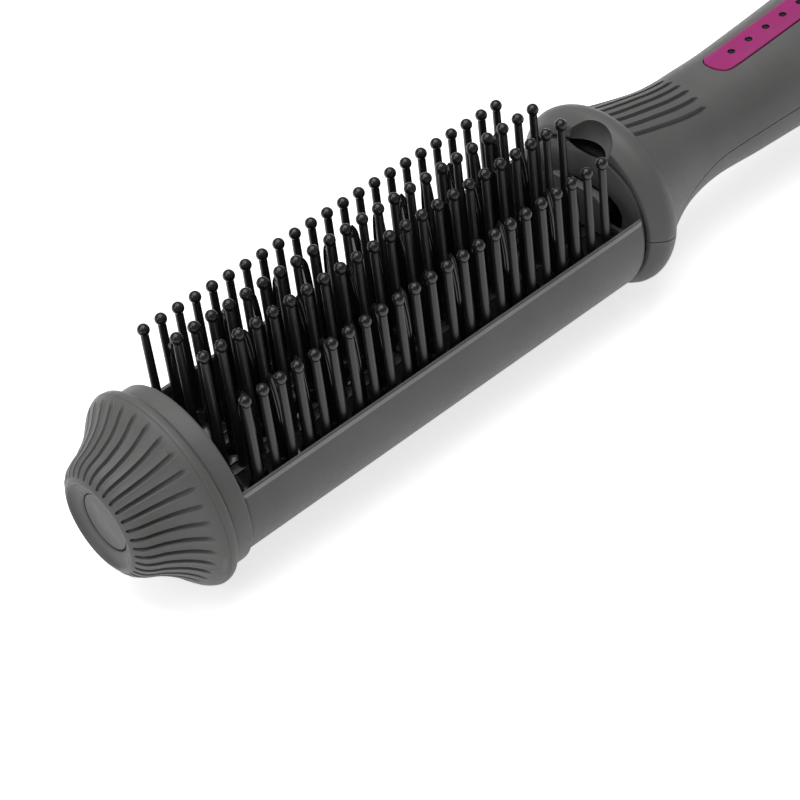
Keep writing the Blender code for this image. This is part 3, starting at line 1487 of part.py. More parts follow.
def build_grille(parent, material):
    """The domed rear cap with its air slots and the seat of the cord's gland."""
    bm = bmesh.new()
    bore = GLAND_RADIUS + GLAND_ROOM
    screen_back = GRILLE_S + 2 * CLEARANCE + FILTER_THICK
    inside = REAR_RADIUS - GRILLE_WALL
    hub = GLAND_FLANGE_RADIUS + GLAND_ROOM
    hub_out = hub + GLAND_FLANGE_THICK
    roof = GRILLE_END_S - GRILLE_WALL
    sections = [
        ring(GRILLE_S, inside),
        ring(GRILLE_S, REAR_RADIUS - 2 * CLEARANCE),
        ring(between(GRILLE_S, GRILLE_END_S, 0.35), REAR_RADIUS - GRILLE_WALL / 2),
        ring(between(GRILLE_S, GRILLE_END_S, 0.75), REAR_RADIUS - GRILLE_WALL * 2),
        ring(GRILLE_END_S - CLEARANCE, REAR_RADIUS - GRILLE_WALL * 4),
        ring(GRILLE_END_S, hub_out),
        ring(GRILLE_END_S, bore),
        ring(roof, bore),
        ring(roof, hub),
        ring(GRILLE_S, hub),
        ring(GRILLE_S, hub_out),
        ring(screen_back, hub_out),
        ring(screen_back, inside - GRILLE_WALL / 2),
    ]
    loft(bm, sections, closed_along=True)
    obj = finish("rear_grille", bm, parent, material)
    slots = bmesh.new()
    for i in range(GRILLE_SLOTS):
        slot = bmesh.new()
        low = (GRILLE_S - CUT_OVERRUN, -GRILLE_SLOT_HALF, hub_out + CLEARANCE)
        high = (GRILLE_END_S + CUT_OVERRUN, GRILLE_SLOT_HALF, REAR_RADIUS - GRILLE_SLOT_RIM)
        block(slot, low, high)
        turn = Matrix.Rotation(2 * math.pi * (i + 0.5) / GRILLE_SLOTS, 3, "X")
        bmesh.ops.rotate(slot, verts=slot.verts, matrix=turn)
        mesh = bpy.data.meshes.new("slot")
        slot.to_mesh(mesh)
        slot.free()
        slots.from_mesh(mesh)
        bpy.data.meshes.remove(mesh)
    combine(obj, finish("grille_slot_cutter", slots, parent), "DIFFERENCE")
    return obj


def build_gland(parent, material):
    """The swivelling gland that a mains lead would leave through."""
    bm = bmesh.new()
    roof = GRILLE_END_S - GRILLE_WALL - GLAND_ROOM
    start = roof - GLAND_FLANGE_THICK
    edge = GLAND_RADIUS - GLAND_BORE
    profile = [
        (start, GLAND_BORE),
        (start, GLAND_FLANGE_RADIUS),
        (roof, GLAND_FLANGE_RADIUS),
        (roof, GLAND_RADIUS),
        (GRILLE_END_S + edge, GLAND_RADIUS),
        (TOTAL_LENGTH - edge / 3, GLAND_RADIUS - edge / 3),
        (TOTAL_LENGTH, GLAND_RADIUS - edge * 2 / 3),
        (TOTAL_LENGTH, GLAND_BORE),
    ]
    turned(bm, profile, INSIDE_SEGMENTS)
    return finish("cord_gland", bm, parent, material)


def build_head(parent, charcoal, black, gloss, metal, steel):
    """The bristle head, which plugs into the handle."""
    build_tip_cone(parent, charcoal)
    build_tip_plug(parent, charcoal)
    build_tip_screw(parent, steel)
    build_tip_flange(parent, charcoal)
    build_barrel(parent, charcoal)
    build_bed(parent, black)
    build_heat_plate(parent, metal)
    build_bristles(parent, black, gloss)
    build_end_plate(parent, charcoal)
    build_outlet_core(parent, charcoal)


def build_handle(parent, charcoal, black, magenta, steel):
    """The handle's shells, strip and rear end."""
    build_upper_shell(parent, charcoal)
    build_lower_shell(parent, charcoal)
    build_shell_screws(parent, steel)
    build_control_strip(parent, magenta)
    build_socket_ring(parent, black)
    build_filter(parent, black)
    build_grille(parent, charcoal)


def build_inside(parent, metal):
    """Heater, board, switches and motor."""
    mica = plastic("mica", (0.55, 0.5, 0.4), 0.6)
    green = plastic("board_green", (0.05, 0.2, 0.09), 0.5)
    black = plastic("switch_black", (0.02, 0.02, 0.02), 0.4)
    build_heater_sleeve(parent, mica)
    build_heater_frame(parent, mica)
    build_heating_wire(parent, metal)
    build_thermostat(parent, metal)
    build_circuit_board(parent, green)
    build_switches(parent, black)
    build_motor(parent, metal)
    build_motor_mount(parent, black)


def main():
    clear_scene()
    charcoal = plastic("charcoal", (0.12, 0.115, 0.11), 0.45)
    black = plastic("black", (0.012, 0.012, 0.013), 0.4)
    gloss = plastic("gloss_black", (0.01, 0.01, 0.011), 0.12)
    magenta = plastic("magenta", (0.42, 0.03, 0.2), 0.4)
    metal = plastic("aluminium", (0.75, 0.75, 0.77), 0.35, 1.0)
    steel = plastic("steel", (0.5, 0.5, 0.52), 0.35, 1.0)
    frame = empty("brush_frame", (0, 0, 0))
    frame.location = (-TOTAL_LENGTH / 2, 0, AXIS_HEIGHT)
    head = empty("head_slide_axis", (PLATE_S, 0, 0), frame)
    fan = empty("fan_axis", (FAN_S, 0, 0), frame)
    gland = empty("gland_axis", (GRILLE_END_S, 0, 0), frame)
    button_top = top_of_shell(BUTTON_S, 0)
    button = empty("cool_button_axis", (BUTTON_S, 0, button_top), frame)
    slider = empty("slider_axis", (SLIDER_S, 0, top_of_shell(SLIDER_S, 0)), frame)
    build_head(head, charcoal, black, gloss, metal, steel)
    build_handle(frame, charcoal, black, magenta, steel)
    build_inside(frame, metal)
    build_button(button, black)
    build_slider(slider, black)
    build_fan(fan, steel, black)
    build_gland(gland, black)


main()
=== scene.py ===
"""Looks of the hot air brush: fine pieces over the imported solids, materials, light and camera.

S runs along the brush from the nose, Y is sideways and Z is up from the barrel's axis,
as in the solids. place() turns them into the frame's own coordinates.
"""

import json
from math import asin, copysign, cos, hypot, pi, radians, sin, sqrt

import bmesh
import bpy
from mathutils import Matrix, Vector

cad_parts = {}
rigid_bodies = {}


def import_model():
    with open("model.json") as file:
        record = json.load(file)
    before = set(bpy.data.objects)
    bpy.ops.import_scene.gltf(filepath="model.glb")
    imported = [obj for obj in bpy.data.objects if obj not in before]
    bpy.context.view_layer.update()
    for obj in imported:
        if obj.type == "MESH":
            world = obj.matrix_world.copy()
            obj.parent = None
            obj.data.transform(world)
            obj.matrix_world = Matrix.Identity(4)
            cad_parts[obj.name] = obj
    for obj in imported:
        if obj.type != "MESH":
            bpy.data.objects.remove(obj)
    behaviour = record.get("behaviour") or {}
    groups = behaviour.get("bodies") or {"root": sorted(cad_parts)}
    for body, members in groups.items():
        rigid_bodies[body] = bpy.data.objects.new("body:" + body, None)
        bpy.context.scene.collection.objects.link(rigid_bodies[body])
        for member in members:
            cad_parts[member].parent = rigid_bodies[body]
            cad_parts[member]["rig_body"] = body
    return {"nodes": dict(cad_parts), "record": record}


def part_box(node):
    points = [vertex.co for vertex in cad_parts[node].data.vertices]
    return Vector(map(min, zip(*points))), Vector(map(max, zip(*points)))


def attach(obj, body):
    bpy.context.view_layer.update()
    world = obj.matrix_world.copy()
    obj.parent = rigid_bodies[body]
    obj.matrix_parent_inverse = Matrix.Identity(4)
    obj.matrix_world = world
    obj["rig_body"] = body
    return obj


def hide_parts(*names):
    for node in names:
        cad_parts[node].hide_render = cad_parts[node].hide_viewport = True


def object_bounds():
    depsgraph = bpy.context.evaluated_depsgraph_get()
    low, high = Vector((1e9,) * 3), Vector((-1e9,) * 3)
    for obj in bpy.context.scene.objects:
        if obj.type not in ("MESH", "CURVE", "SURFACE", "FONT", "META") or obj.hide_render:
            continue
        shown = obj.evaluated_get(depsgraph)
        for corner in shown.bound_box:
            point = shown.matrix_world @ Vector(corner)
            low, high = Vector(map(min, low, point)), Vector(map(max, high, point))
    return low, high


MM = 0.001

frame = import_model()
CAD_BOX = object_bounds()

# Sizes that the solids have too
CLEARANCE = 0.3 * MM
BARREL_RADIUS = 22.2 * MM
BARREL_WALL = 1.5 * MM
BARREL_END_ROUND = 1.4 * MM
RIM_HEIGHT = 6.0 * MM
FLANGE_RADIUS = 23.3 * MM
LIP_RADIUS = 25.5 * MM
REST_FLAT_DEPTH = 0.3 * MM
AXIS_HEIGHT = LIP_RADIUS - REST_FLAT_DEPTH
TIP_LENGTH = 17.9 * MM
NOSE_RADIUS = 12.9 * MM
NOSE_LIFT = 1.4 * MM
FLUTE_COUNT = 34
PLUG_RADIUS = 7.3 * MM
BED_TOP = -4.7 * MM
STRIP_THICK = 1.4 * MM
STRIP_BOTTOM = BED_TOP + CLEARANCE
STRIP_TOP = STRIP_BOTTOM + STRIP_THICK
PIN_COUNT = 23
PIN_PITCH = 5.0 * MM
PIN_START = 7.2 * MM
PIN_CIRCLE = 32.8 * MM
PIN_BASE_RADIUS = 1.15 * MM
PIN_NECK_RADIUS = 1.0 * MM
PIN_BALL_RADIUS = 1.5 * MM
OUTER_ROW_Y = 17.9 * MM
INNER_ROW_Y = 4.75 * MM
SIDE_FIN_Y = 12.6 * MM
FIN_PITCH = 7.8 * MM
FIN_START = 10.4 * MM
FIN_COUNT = 14
FIN_CIRCLE = 28.0 * MM
FIN_HALF_WIDTH = 2.1 * MM
FIN_HALF_THICK = 0.9 * MM
STAR_RADIUS = 3.3 * MM
STAR_HEIGHT = 2.6 * MM
PLATE_RADIUS = 19.9 * MM
PLATE_THICK = 2.6 * MM
COLLAR_FRONT_RADIUS = 21.9 * MM
COLLAR_RADIUS = 22.8 * MM
COLLAR_BULGE = 1.8 * MM
COLLAR_BULGE_SHARE = 0.5
COLLAR_BORE = 20.8 * MM
COLLAR_LENGTH = 8.6 * MM
SHELL_WALL = 2.0 * MM
NECK_RADIUS = 14.3 * MM
NECK_LENGTH = 29.1 * MM
NECK_LIFT = 2.1 * MM
NECK_SETTLE = 16 * MM
NECK_SLOPE = 2.1
GRIP_LENGTH = 45 * MM
GRIP_RADIUS = 16.3 * MM
GRIP_LIFT = 1.4 * MM
REAR_RADIUS = 25.58 * MM
PARTING_FRONT = -1.2 * MM
PARTING_RIDGE = -3.0 * MM
PARTING_BACK = 1.1 * MM
STRIP_HALF = 4.1 * MM
STRIP_PROUD = 0.35 * MM
STRIP_DEPTH = 1.2 * MM
DOT_AHEAD = 8.3 * MM
DOT_PITCH = 6.5 * MM
DOT_COUNT = 7
DOT_RADIUS = 1.15 * MM
DOT_DEPTH = 0.5 * MM
SLIDER_TRAVEL = 8.0 * MM
STEM_HALF_LENGTH = 1.6 * MM
STEM_HALF_WIDTH = 1.2 * MM


def span(node):
    """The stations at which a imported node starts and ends."""
    low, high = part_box(node)
    return low.x - CAD_BOX[0].x, high.x - CAD_BOX[0].x


def place(s, y, z):
    """A point of the brush in the frame's coordinates."""
    return Vector((s + CAD_BOX[0].x, y, z + AXIS_HEIGHT))


LIP_BACK_S = span("tip_cone")[1]
BARREL_START_S, BARREL_END_S = span("barrel_shell")
FLANGE_BACK_S = BARREL_START_S - CLEARANCE
FLANGE_FRONT_S = LIP_BACK_S + CLEARANCE
FIRST_PIN_S = BARREL_START_S + PIN_START
FIRST_FIN_S = BARREL_START_S + FIN_START
PLATE_S = BARREL_END_S + CLEARANCE
PLATE_BACK_S = PLATE_S + PLATE_THICK
COLLAR_S, SHELL_END_S = span("handle_upper_shell")
COLLAR_END_S = COLLAR_S + COLLAR_LENGTH
NECK_S = COLLAR_END_S + NECK_LENGTH
GRIP_S = NECK_S + GRIP_LENGTH
STRIP_START_S, STRIP_END_S = span("control_strip")
DOT_START_S = STRIP_START_S + DOT_AHEAD
GRILLE_S, GRILLE_END_S = span("rear_grille")

SLOTS = {part["node"]: part["material_slot"] for part in frame["record"]["subparts"]}


# Mesh helpers

ROUND_STEPS = 160
CORNER_STEPS = 5
CORNER_SHARE = 0.45


def smooth_step(share):
    """Ease from 0 to 1."""
    share = min(1.0, max(0.0, share))
    return share * share * (3 - 2 * share)


def between(low, high, share):
    """The value a share of the way from low to high."""
    return low + (high - low) * share


def spread(low, high, steps):
    """Evenly spaced values from low to high."""
    return [between(low, high, i / steps) for i in range(steps + 1)]


def turns(count, shift=0.5):
    """Angles of equal steps round a circle."""
    return [2 * pi * (i + shift) / count for i in range(count)]


def mirror(points):
    """A line of (y, z) on the other side of the brush, run backward."""
    return [(-y, z) for y, z in reversed(points)]


def loft(sections, bm=None, endless=False):
    """Quads between rings of equal length, with end faces unless the last ring meets the first."""
    bm = bm or bmesh.new()
    rings = [[bm.verts.new(point) for point in section] for section in sections]
    for first, second in zip(rings, rings[1:] + rings[:1] * endless):
        for i in range(len(first)):
            j = (i + 1) % len(first)
            bm.faces.new((first[i], first[j], second[j], second[i]))
    if not endless:
        bm.faces.new(rings[0])
        bm.faces.new(reversed(rings[-1]))
    return bm


def from_side(s, radius, angle, lift=0.0):
    """A point round the brush's axis at an angle from its left side."""
    return place(s, radius * cos(angle), lift + radius * sin(angle))


def circle(s, radius, lift=0.0, segments=ROUND_STEPS):
    """A ring of points round the brush's axis, from its lowest point."""
    return [from_side(s, radius, turn - pi / 2, lift) for turn in turns(segments)]


def from_top(s, radius, angle):
    """A point round the brush's axis at an angle from the top."""
    return place(s, radius * sin(angle), radius * cos(angle))


def turned(profile, segments=ROUND_STEPS):
    """A turned shape from a closed profile of (s, radius)."""
    return loft([circle(s, radius, 0.0, segments) for s, radius in profile], endless=True)


def rounded(points, size):
    """A closed profile with each corner rounded off by size, or less where its sides are short."""
    out = []
    count = len(points)
    for i in range(count):
        before, here, after = (Vector(points[(i + k) % count]) for k in (-1, 0, 1))
        room = min((before - here).length, (after - here).length) * CORNER_SHARE
        start, end = (
            here + (other - here).normalized() * min(size, room) for other in (before, after)
        )
        for k in range(CORNER_STEPS + 1):
            share = k / CORNER_STEPS
            curve = start * (1 - share) ** 2 + here * 2 * share * (1 - share) + end * share**2
            out.append(tuple(curve))
    return out


def smooth_line(points, steps):
    """A smooth line through points of any dimension."""
    points = [Vector(point) for point in points]
    padded = [points[0] * 2 - points[1]] + points + [points[-1] * 2 - points[-2]]
    out = []
    for i in range(1, len(padded) - 2):
        a, b, c, d = padded[i - 1 : i + 3]
        for k in range(steps):
            t = k / steps
            line = b * 2 + (c - a) * t + (a * 2 - b * 5 + c * 4 - d) * t**2
            out.append((line + (b * 3 - a - c * 3 + d) * t**3) / 2)
    return out + [points[-1]]


def block(bm, low, high):
    """A box between two corners given as (s, y, z)."""
    corners = bmesh.ops.create_cube(bm, size=1.0)["verts"]
    low, high = place(*low), place(*high)
    bmesh.ops.scale(bm, verts=corners, vec=high - low)
    bmesh.ops.translate(bm, verts=corners, vec=(low + high) / 2)


def prism(outline, start, end):
    """A (y, z) outline pulled along the brush from start to end."""
    return loft([[place(s, y, z) for y, z in outline] for s in (start, end)])


def pillar(bm, s, y, levels, segments=32):
    """An upright round bar with a (height, radius) for each level."""
    rings = []
    for z, radius in levels:
        spots = [(radius * cos(a), radius * sin(a)) for a in turns(segments, 0)]
        rings.append([place(s + along, y + across, z) for along, across in spots])
    loft(rings, bm)


def in_scene(name, data):
    """A scene object of its data."""
    obj = bpy.data.objects.new(name, data)
    bpy.context.scene.collection.objects.link(obj)
    return obj


def to_object(name, bm):
    """A scene object from the mesh, with its faces outward."""
    bmesh.ops.recalc_face_normals(bm, faces=bm.faces)
    mesh = bpy.data.meshes.new(name)
    bm.to_mesh(mesh)
    bm.free()
    return in_scene(name, mesh)


def baked(obj):
    """Apply the object's modifiers and remove the helpers that they used."""
    bpy.context.view_layer.update()
    graph = bpy.context.evaluated_depsgraph_get()
    mesh = bpy.data.meshes.new_from_object(obj.evaluated_get(graph))
    helpers = [step.object for step in obj.modifiers if step.type == "BOOLEAN"]
    obj.modifiers.clear()
    obj.data = mesh
    for helper in helpers:
        bpy.data.objects.remove(helper, do_unlink=True)


def combine(obj, name, bm, operation="DIFFERENCE"):
    """A Boolean of the object with a helper mesh."""
    helper = to_object(name, bm)
    helper.hide_render = True
    step = obj.modifiers.new(name, "BOOLEAN")
    step.operation = operation
    step.object = helper
    step.solver = "EXACT"


def cut_rest(obj, name, start, end):
    """Cut off what would lie under the table's plane between two stations."""
    bm = bmesh.new()
    block(bm, (start, -REAR_RADIUS, -REAR_RADIUS - MM), (end, REAR_RADIUS, -AXIS_HEIGHT))
    combine(obj, name, bm)


def soften(obj, width, segments=2):
    """Round the object's sharp edges."""
    step = obj.modifiers.new("soft_edges", "BEVEL")
    step.width = width
    step.segments = segments
    step.limit_method = "ANGLE"
    step.angle_limit = radians(35)


def paint(obj, material, inside):
    """Give a second material to the faces whose middle passes the test."""
    obj.data.materials.append(material)
    index = len(obj.data.materials) - 1
    for face in obj.data.polygons:
        if inside(face.center):
            face.material_index = index


def dress(obj, node, material, crease_degrees=35):
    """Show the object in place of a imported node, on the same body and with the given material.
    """
    baked(obj)
    obj.data.materials.clear()
    obj.data.materials.append(material)
    obj.data.shade_smooth()
    obj.data.set_sharp_from_angle(angle=radians(crease_degrees))
    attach(obj, frame["nodes"][node]["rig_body"])
    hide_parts(node)
    return obj


# Materials


def feed(node, values):
    """Set named sockets of a node to a value, or link them to another socket."""
    for name, value in values.items():
        if isinstance(value, bpy.types.NodeSocket):
            node.id_data.links.new(value, node.inputs[name])
        else:
            node.inputs[name].default_value = value


def added(tree, kind, values):
    """A new shader node with its sockets fed."""
    node = tree.nodes.new(f"ShaderNode{kind}")
    feed(node, values)
    return node


def math_node(tree, operation, first, second):
    """A Math node on a socket and a number, or on two sockets."""
    node = added(tree, "Math", {0: first, 1: second})
    node.operation = operation
    return node.outputs[0]


def noise(tree, scale, detail=2.0, stretch=(1.0, 1.0, 1.0)):
    """Noise over the piece's own coordinates, with scale in cells per metre."""
    spot = added(tree, "TexCoord", {}).outputs["Object"]
    spot = added(tree, "Mapping", {"Vector": spot, "Scale": stretch}).outputs["Vector"]
    values = {"Vector": spot, "Scale": scale, "Detail": detail}
    return added(tree, "TexNoise", values).outputs["Fac"]


def ranged(tree, value, low, high, band=(0.0, 1.0)):
    """A value brought from its band to a new range."""
    names = ("Value", "From Min", "From Max", "To Min", "To Max")
    values = dict(zip(names, (value, *band, low, high)))
    return added(tree, "MapRange", values).outputs["Result"]


def mixed(tree, factor, first, second):
    """A colour mix by a factor socket, of colours or of sockets."""
    node = tree.nodes.new("ShaderNodeMix")
    node.data_type = "RGBA"
    first, second = ((*c, 1.0) if isinstance(c, tuple) else c for c in (first, second))
    feed(node, {"Factor": factor, "A": first, "B": second})
    return node.outputs["Result"]


def new_material(name):
    """A material, its node tree and its shader."""
    material = bpy.data.materials.new(name)
    material.use_nodes = True
    return material, material.node_tree, material.node_tree.nodes["Principled BSDF"]


# Scales are in cells per metre, and a band holds the values that are spread to 0 and 1
CLOUD_SCALE = 70
CLOUD_BAND = (0.3, 0.7)
PATCH_SCALE = 400
PATCH_BAND = (0.35, 0.6)
SPECKLE_SCALE = 900
EDGE_BAND = (0.53, 0.62)
GLOSS_SWING = 0.12
GRAIN_DEPTH = 0.03 * MM


def moulded(
    name,
    colour,
    roughness,
    grain=0.25,
    grain_scale=2600,
    blotch=0.08,
    wear=0.25,
    metallic=0.0,
    stretch=(1.0, 1.0, 1.0),
    specular=0.5,
):
    """A surface with cloudy colour, uneven gloss, fine grain and worn edges."""
    material, tree, shader = new_material(name)
    darker = tuple(channel * (1 - blotch) for channel in colour)
    lighter = tuple(min(1.0, channel * (1 + blotch)) for channel in colour)
    worn = tuple(min(1.0, channel * 2.2 + 0.02) for channel in colour)
    cloud = ranged(tree, noise(tree, CLOUD_SCALE, 3.0, stretch), 0.0, 1.0, CLOUD_BAND)
    pointiness = added(tree, "NewGeometry", {}).outputs["Pointiness"]
    edge = ranged(tree, pointiness, 0.0, wear, EDGE_BAND)
    patches = ranged(tree, noise(tree, PATCH_SCALE), 0.3, 1.0, PATCH_BAND)
    patchy = math_node(tree, "MULTIPLY", edge, patches)
    low, high = roughness * (1 - GLOSS_SWING), roughness * (1 + GLOSS_SWING)
    height = noise(tree, grain_scale, 3.0, stretch)
    bump = added(tree, "Bump", {"Strength": grain, "Distance": GRAIN_DEPTH, "Height": height})
    speckle = noise(tree, SPECKLE_SCALE, 2.0, stretch)
    looks = {
        "Base Color": mixed(tree, patchy, mixed(tree, cloud, darker, lighter), worn),
        "Metallic": metallic,
        "Roughness": ranged(tree, speckle, low, high, CLOUD_BAND),
        "Specular IOR Level": specular,
        "Normal": bump.outputs["Normal"],
    }
    feed(shader, looks)
    return material


CHARCOAL = moulded("charcoal_plastic", (0.13, 0.128, 0.126), 0.42, grain=0.3, specular=0.28)
# Lighter charcoal for a painted highlight on the barrel's rim chamfers, standing in for the top
# light that they catch
CHARCOAL_PAINTED_HIGHLIGHT = moulded("charcoal_painted_highlight", (0.27, 0.267, 0.264), 0.42, grain=0.3, specular=0.28)
SATIN_BLACK = moulded("satin_black_plastic", (0.017, 0.017, 0.018), 0.33, grain=0.2)
BALL_BLACK = moulded("pin_ball_black", (0.012, 0.012, 0.013), 0.14, grain=0.12, grain_scale=1500)
GLOSS_BLACK = moulded(
    "gloss_black_plastic", (0.009, 0.009, 0.01), 0.1, grain=0.08, grain_scale=1200
)
MAGENTA = moulded("magenta_plastic", (0.36, 0.022, 0.17), 0.36, grain=0.2, blotch=0.05, wear=0.1)

SLOT_MATERIALS = {
    "charcoal_plastic": CHARCOAL,
    "black_plastic": SATIN_BLACK,
    "gloss_black": GLOSS_BLACK,
    "magenta_plastic": MAGENTA,
    "aluminium": moulded(
        "aluminium", (0.75, 0.75, 0.77), 0.35, metallic=1.0, stretch=(0.1, 1, 1)
    ),
    "steel": moulded("steel", (0.5, 0.5, 0.52), 0.3, metallic=1.0, stretch=(0.2, 1, 1)),
    "mica": moulded("mica", (0.55, 0.5, 0.4), 0.42, grain=0.6, grain_scale=700, blotch=0.2),
    "board_green": moulded(
        "board_green", (0.05, 0.2, 0.09), 0.3, grain=0.3, grain_scale=900, blotch=0.15
    ),
}


def dress_solids():
    """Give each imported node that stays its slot's material."""
    for node, obj in frame["nodes"].items():
        obj.data.materials.clear()
        obj.data.materials.append(SLOT_MATERIALS[SLOTS[node]])


# The fluted tip

# Share of the way from lip to nose, share of the way from lip radius to nose radius
TIP_OUTSIDE_SHARES = ((-0.04, 0.024), (0.017, 0.016), (0.073, 0.044), (0.134, 0.103))
TIP_OUTSIDE_SHARES += ((0.218, 0.222), (0.33, 0.397), (0.441, 0.532), (0.553, 0.635))
TIP_OUTSIDE_SHARES += ((0.665, 0.726), (0.777, 0.794), (0.855, 0.853), (0.916, 0.925))
TIP_OUTSIDE_SHARES += ((0.955, 1.0), (0.983, 1.063), (0.997, 1.1))
# In mm: how far ahead of the lip's back and in from its radius
TIP_BACK = ((0.0, 3.4), (0.0, 1.35), (0.12, 0.95), (0.4, 0.6), (0.65, 0.4))
# In mm: how far behind the nose and in from its rim
NOSE_DISH = ((0.0, -0.1), (0.04, 0.08), (0.2, 0.25), (0.55, 0.5), (0.95, 0.95), (1.3, 1.6))
NOSE_DISH += ((1.6, 2.4),)
NOSE_RIM_SHARE = 0.868
PLUG_S = 1.95 * MM
PLUG_SEAT_END_S = 3.2 * MM
PLUG_EDGE = 0.3 * MM
PLUG_DOME = 0.21 * MM
PLUG_RINGS = 9
FLUTE_START_S = 14.6 * MM
FLUTE_START_TILT = 1.3 * MM
FLUTE_END_S = 0.55 * MM
FLUTE_HALF_WIDTH = 0.68 * MM
FLUTE_NOSE_HALF = 0.48 * MM
FLUTE_DEPTH = 1.25 * MM
FLUTE_COLUMNS = (-1.0, -0.93, -0.8, -0.5, -0.2, 0.2, 0.5, 0.8, 0.93, 1.0)
BEAD_WIDTH = 0.42 * MM
BEAD_HEIGHT = 0.1 * MM
BEAD_SHAPE = ((0.2, 0.6), (0.5, 1.0), (0.8, 0.5), (1.0, 0.0))
CREASE_S = 16.9 * MM
CREASE_DEPTH = 0.14 * MM
CREASE_HALF = 0.18 * MM
FLANGE_INNER = BARREL_RADIUS - 4 * MM
FLANGE_DISC_THICK = 1.2 * MM
FLANGE_HOLE = 2 * MM
FLANGE_ROUND = 0.8 * MM
FLANGE_COLLAR = (18.9 * MM, 20.2 * MM)
FLANGE_COLLAR_LENGTH = 2 * MM


def tip_lift(s):
    """The nose stands a little higher than the barrel's axis."""
    return NOSE_LIFT * max(0.0, 1 - s / TIP_LENGTH)


def flute_half(s):
    """Half a flute's width, which narrows toward the nose."""
    return between(FLUTE_NOSE_HALF, FLUTE_HALF_WIDTH, min(1.0, s / FLUTE_START_S))


def flute_depth(s, across, angle):
    """How deep a flute is at a station and a share of its half width, for a flute at an angle."""
    start = FLUTE_START_S + FLUTE_START_TILT * sin(angle)
    inside = min(start - s, (s - FLUTE_END_S) * 2)
    if inside <= 0:
        return 0.0
    full = flute_half(s)
    share = min(1.0, inside / (full * 2))
    wide = sqrt(1 - (1 - share) ** 2)
    if across >= wide:
        return 0.0
    return FLUTE_DEPTH * wide * (1 - (across / wide) ** 3.2)


def tip_rows():
    """(s, radius) rows down the outside of the tip, from behind the lip to the nose's rim."""
    outside = []
    for along, inward in TIP_OUTSIDE_SHARES:
        outside.append((TIP_LENGTH * (1 - along), between(LIP_RADIUS, NOSE_RADIUS, inward)))
    line = sorted(tuple(point) for point in smooth_line(outside, 5))
    stations = [point[0] for point in line]
    stations += [CREASE_S + CREASE_HALF * k for k in (-1.6, -1, 0, 1, 1.6)]
    rows = []
    for s in sorted(stations, reverse=True):
        dip = max(0.0, 1 - abs(s - CREASE_S) / CREASE_HALF)
        rows.append((s, radius_at(line, s) - CREASE_DEPTH * dip))
    return rows


def radius_at(line, s):
    """The radius of a line of (s, radius) at a station."""
    for (s0, r0), (s1, r1) in zip(line, line[1:]):
        if s0 <= s <= s1:
            return between(r0, r1, (s - s0) / max(s1 - s0, 1e-9))
    return line[-1][1]


def build_tip():
    """The fluted cap: rounded lip, fine crease, flutes and the dished nose."""
    seat = PLUG_RADIUS + CLEARANCE
    rim = NOSE_RADIUS * NOSE_RIM_SHARE
    rows = [(LIP_BACK_S - s * MM, LIP_RADIUS - drop * MM, False) for s, drop in TIP_BACK]
    rows += [(s, radius, True) for s, radius in tip_rows()]
    rows += [(s * MM, rim - drop * MM, False) for s, drop in NOSE_DISH]
    rows += [(PLUG_S - 0.15 * MM, seat + 0.1 * MM, False)]
    rows += [(s, seat, False) for s in (PLUG_S, PLUG_SEAT_END_S)]
    step = 2 * pi / FLUTE_COUNT
    sections = []
    for s, radius, fluted in rows:
        half = flute_half(s)
        points = []
        for flute in range(FLUTE_COUNT):
            middle = -pi / 2 + flute * step
            spots = []
            for share in FLUTE_COLUMNS:
                depth = flute_depth(s, abs(share), middle) if fluted else 0.0
                spots.append((middle + half * share / radius, radius - depth))
            ease = flute_depth(s, 0.0, middle) / FLUTE_DEPTH if fluted else 0.0
            for share, height in BEAD_SHAPE:
                angle = middle + (half + BEAD_WIDTH * share) / radius
                spots.append((angle, radius + BEAD_HEIGHT * height * ease))
            spots.append((middle + step / 2 + BEAD_WIDTH / radius, radius))
            points += [from_side(s, reach, angle, tip_lift(s)) for angle, reach in spots]
        for point in points:
            point.z = max(point.z, 0.0)
        sections.append(points)
    dress(to_object("tip_cap", loft(sections)), "tip_cone", CHARCOAL, 50)


def build_plug():
    """The gently domed disc in the nose."""
    profile = [(span("tip_plug")[1], PLUG_RADIUS), (PLUG_S + PLUG_EDGE, PLUG_RADIUS)]
    profile.append((PLUG_S + 0.08 * MM, PLUG_RADIUS - 0.12 * MM))
    for i in range(1, PLUG_RINGS):
        share = 1 - i / PLUG_RINGS
        profile.append((PLUG_S + PLUG_DOME * share**2, (PLUG_RADIUS - PLUG_EDGE) * share))
    disc = loft([circle(s, radius, NOSE_LIFT, 96) for s, radius in profile])
    dress(to_object("tip_disc", disc), "tip_plug", CHARCOAL)


def build_flange():
    """The band behind the cap, with rounded edges."""
    disc_back = FLANGE_FRONT_S + FLANGE_DISC_THICK
    profile = [
        (FLANGE_FRONT_S, FLANGE_INNER),
        (FLANGE_FRONT_S, FLANGE_RADIUS),
        (FLANGE_BACK_S, FLANGE_RADIUS),
        (FLANGE_BACK_S, FLANGE_HOLE),
        (disc_back, FLANGE_HOLE),
        (disc_back, FLANGE_INNER),
    ]
    obj = to_object("flange_band", turned(rounded(profile, FLANGE_ROUND)))
    inner, outer = FLANGE_COLLAR
    front, back = FLANGE_FRONT_S - FLANGE_COLLAR_LENGTH, FLANGE_FRONT_S + CLEARANCE
    collar = [(front, inner), (front, outer), (back, outer), (back, inner)]
    combine(obj, "flange_collar", turned(collar), "UNION")
    dress(obj, "tip_flange", CHARCOAL)


# The barrel, pins and fins

# In mm: behind the barrel's front and in from its radius
BARREL_FRONT = ((0.0, 0.5), (0.12, 0.22), (0.4, 0.06), (0.8, 0.0))
BARREL_END_STEPS = 8
RIM_ROUND = 0.35 * MM
RIM_CHAMFER = 0.58 * MM
# Shares of the chamfer, in from the edge and down from the top
RIM_CORNER = ((0.12, 0.8), (0.8, 0.12), (1.0, 0.0), (1.04, 0.35), (1.2, 0.35), (1.24, 0.0))
# How far out from the bore the rim's painted highlight starts
PAINTED_HIGHLIGHT_INSET = 0.85 * MM
STRIP_ROUND = 0.2 * MM
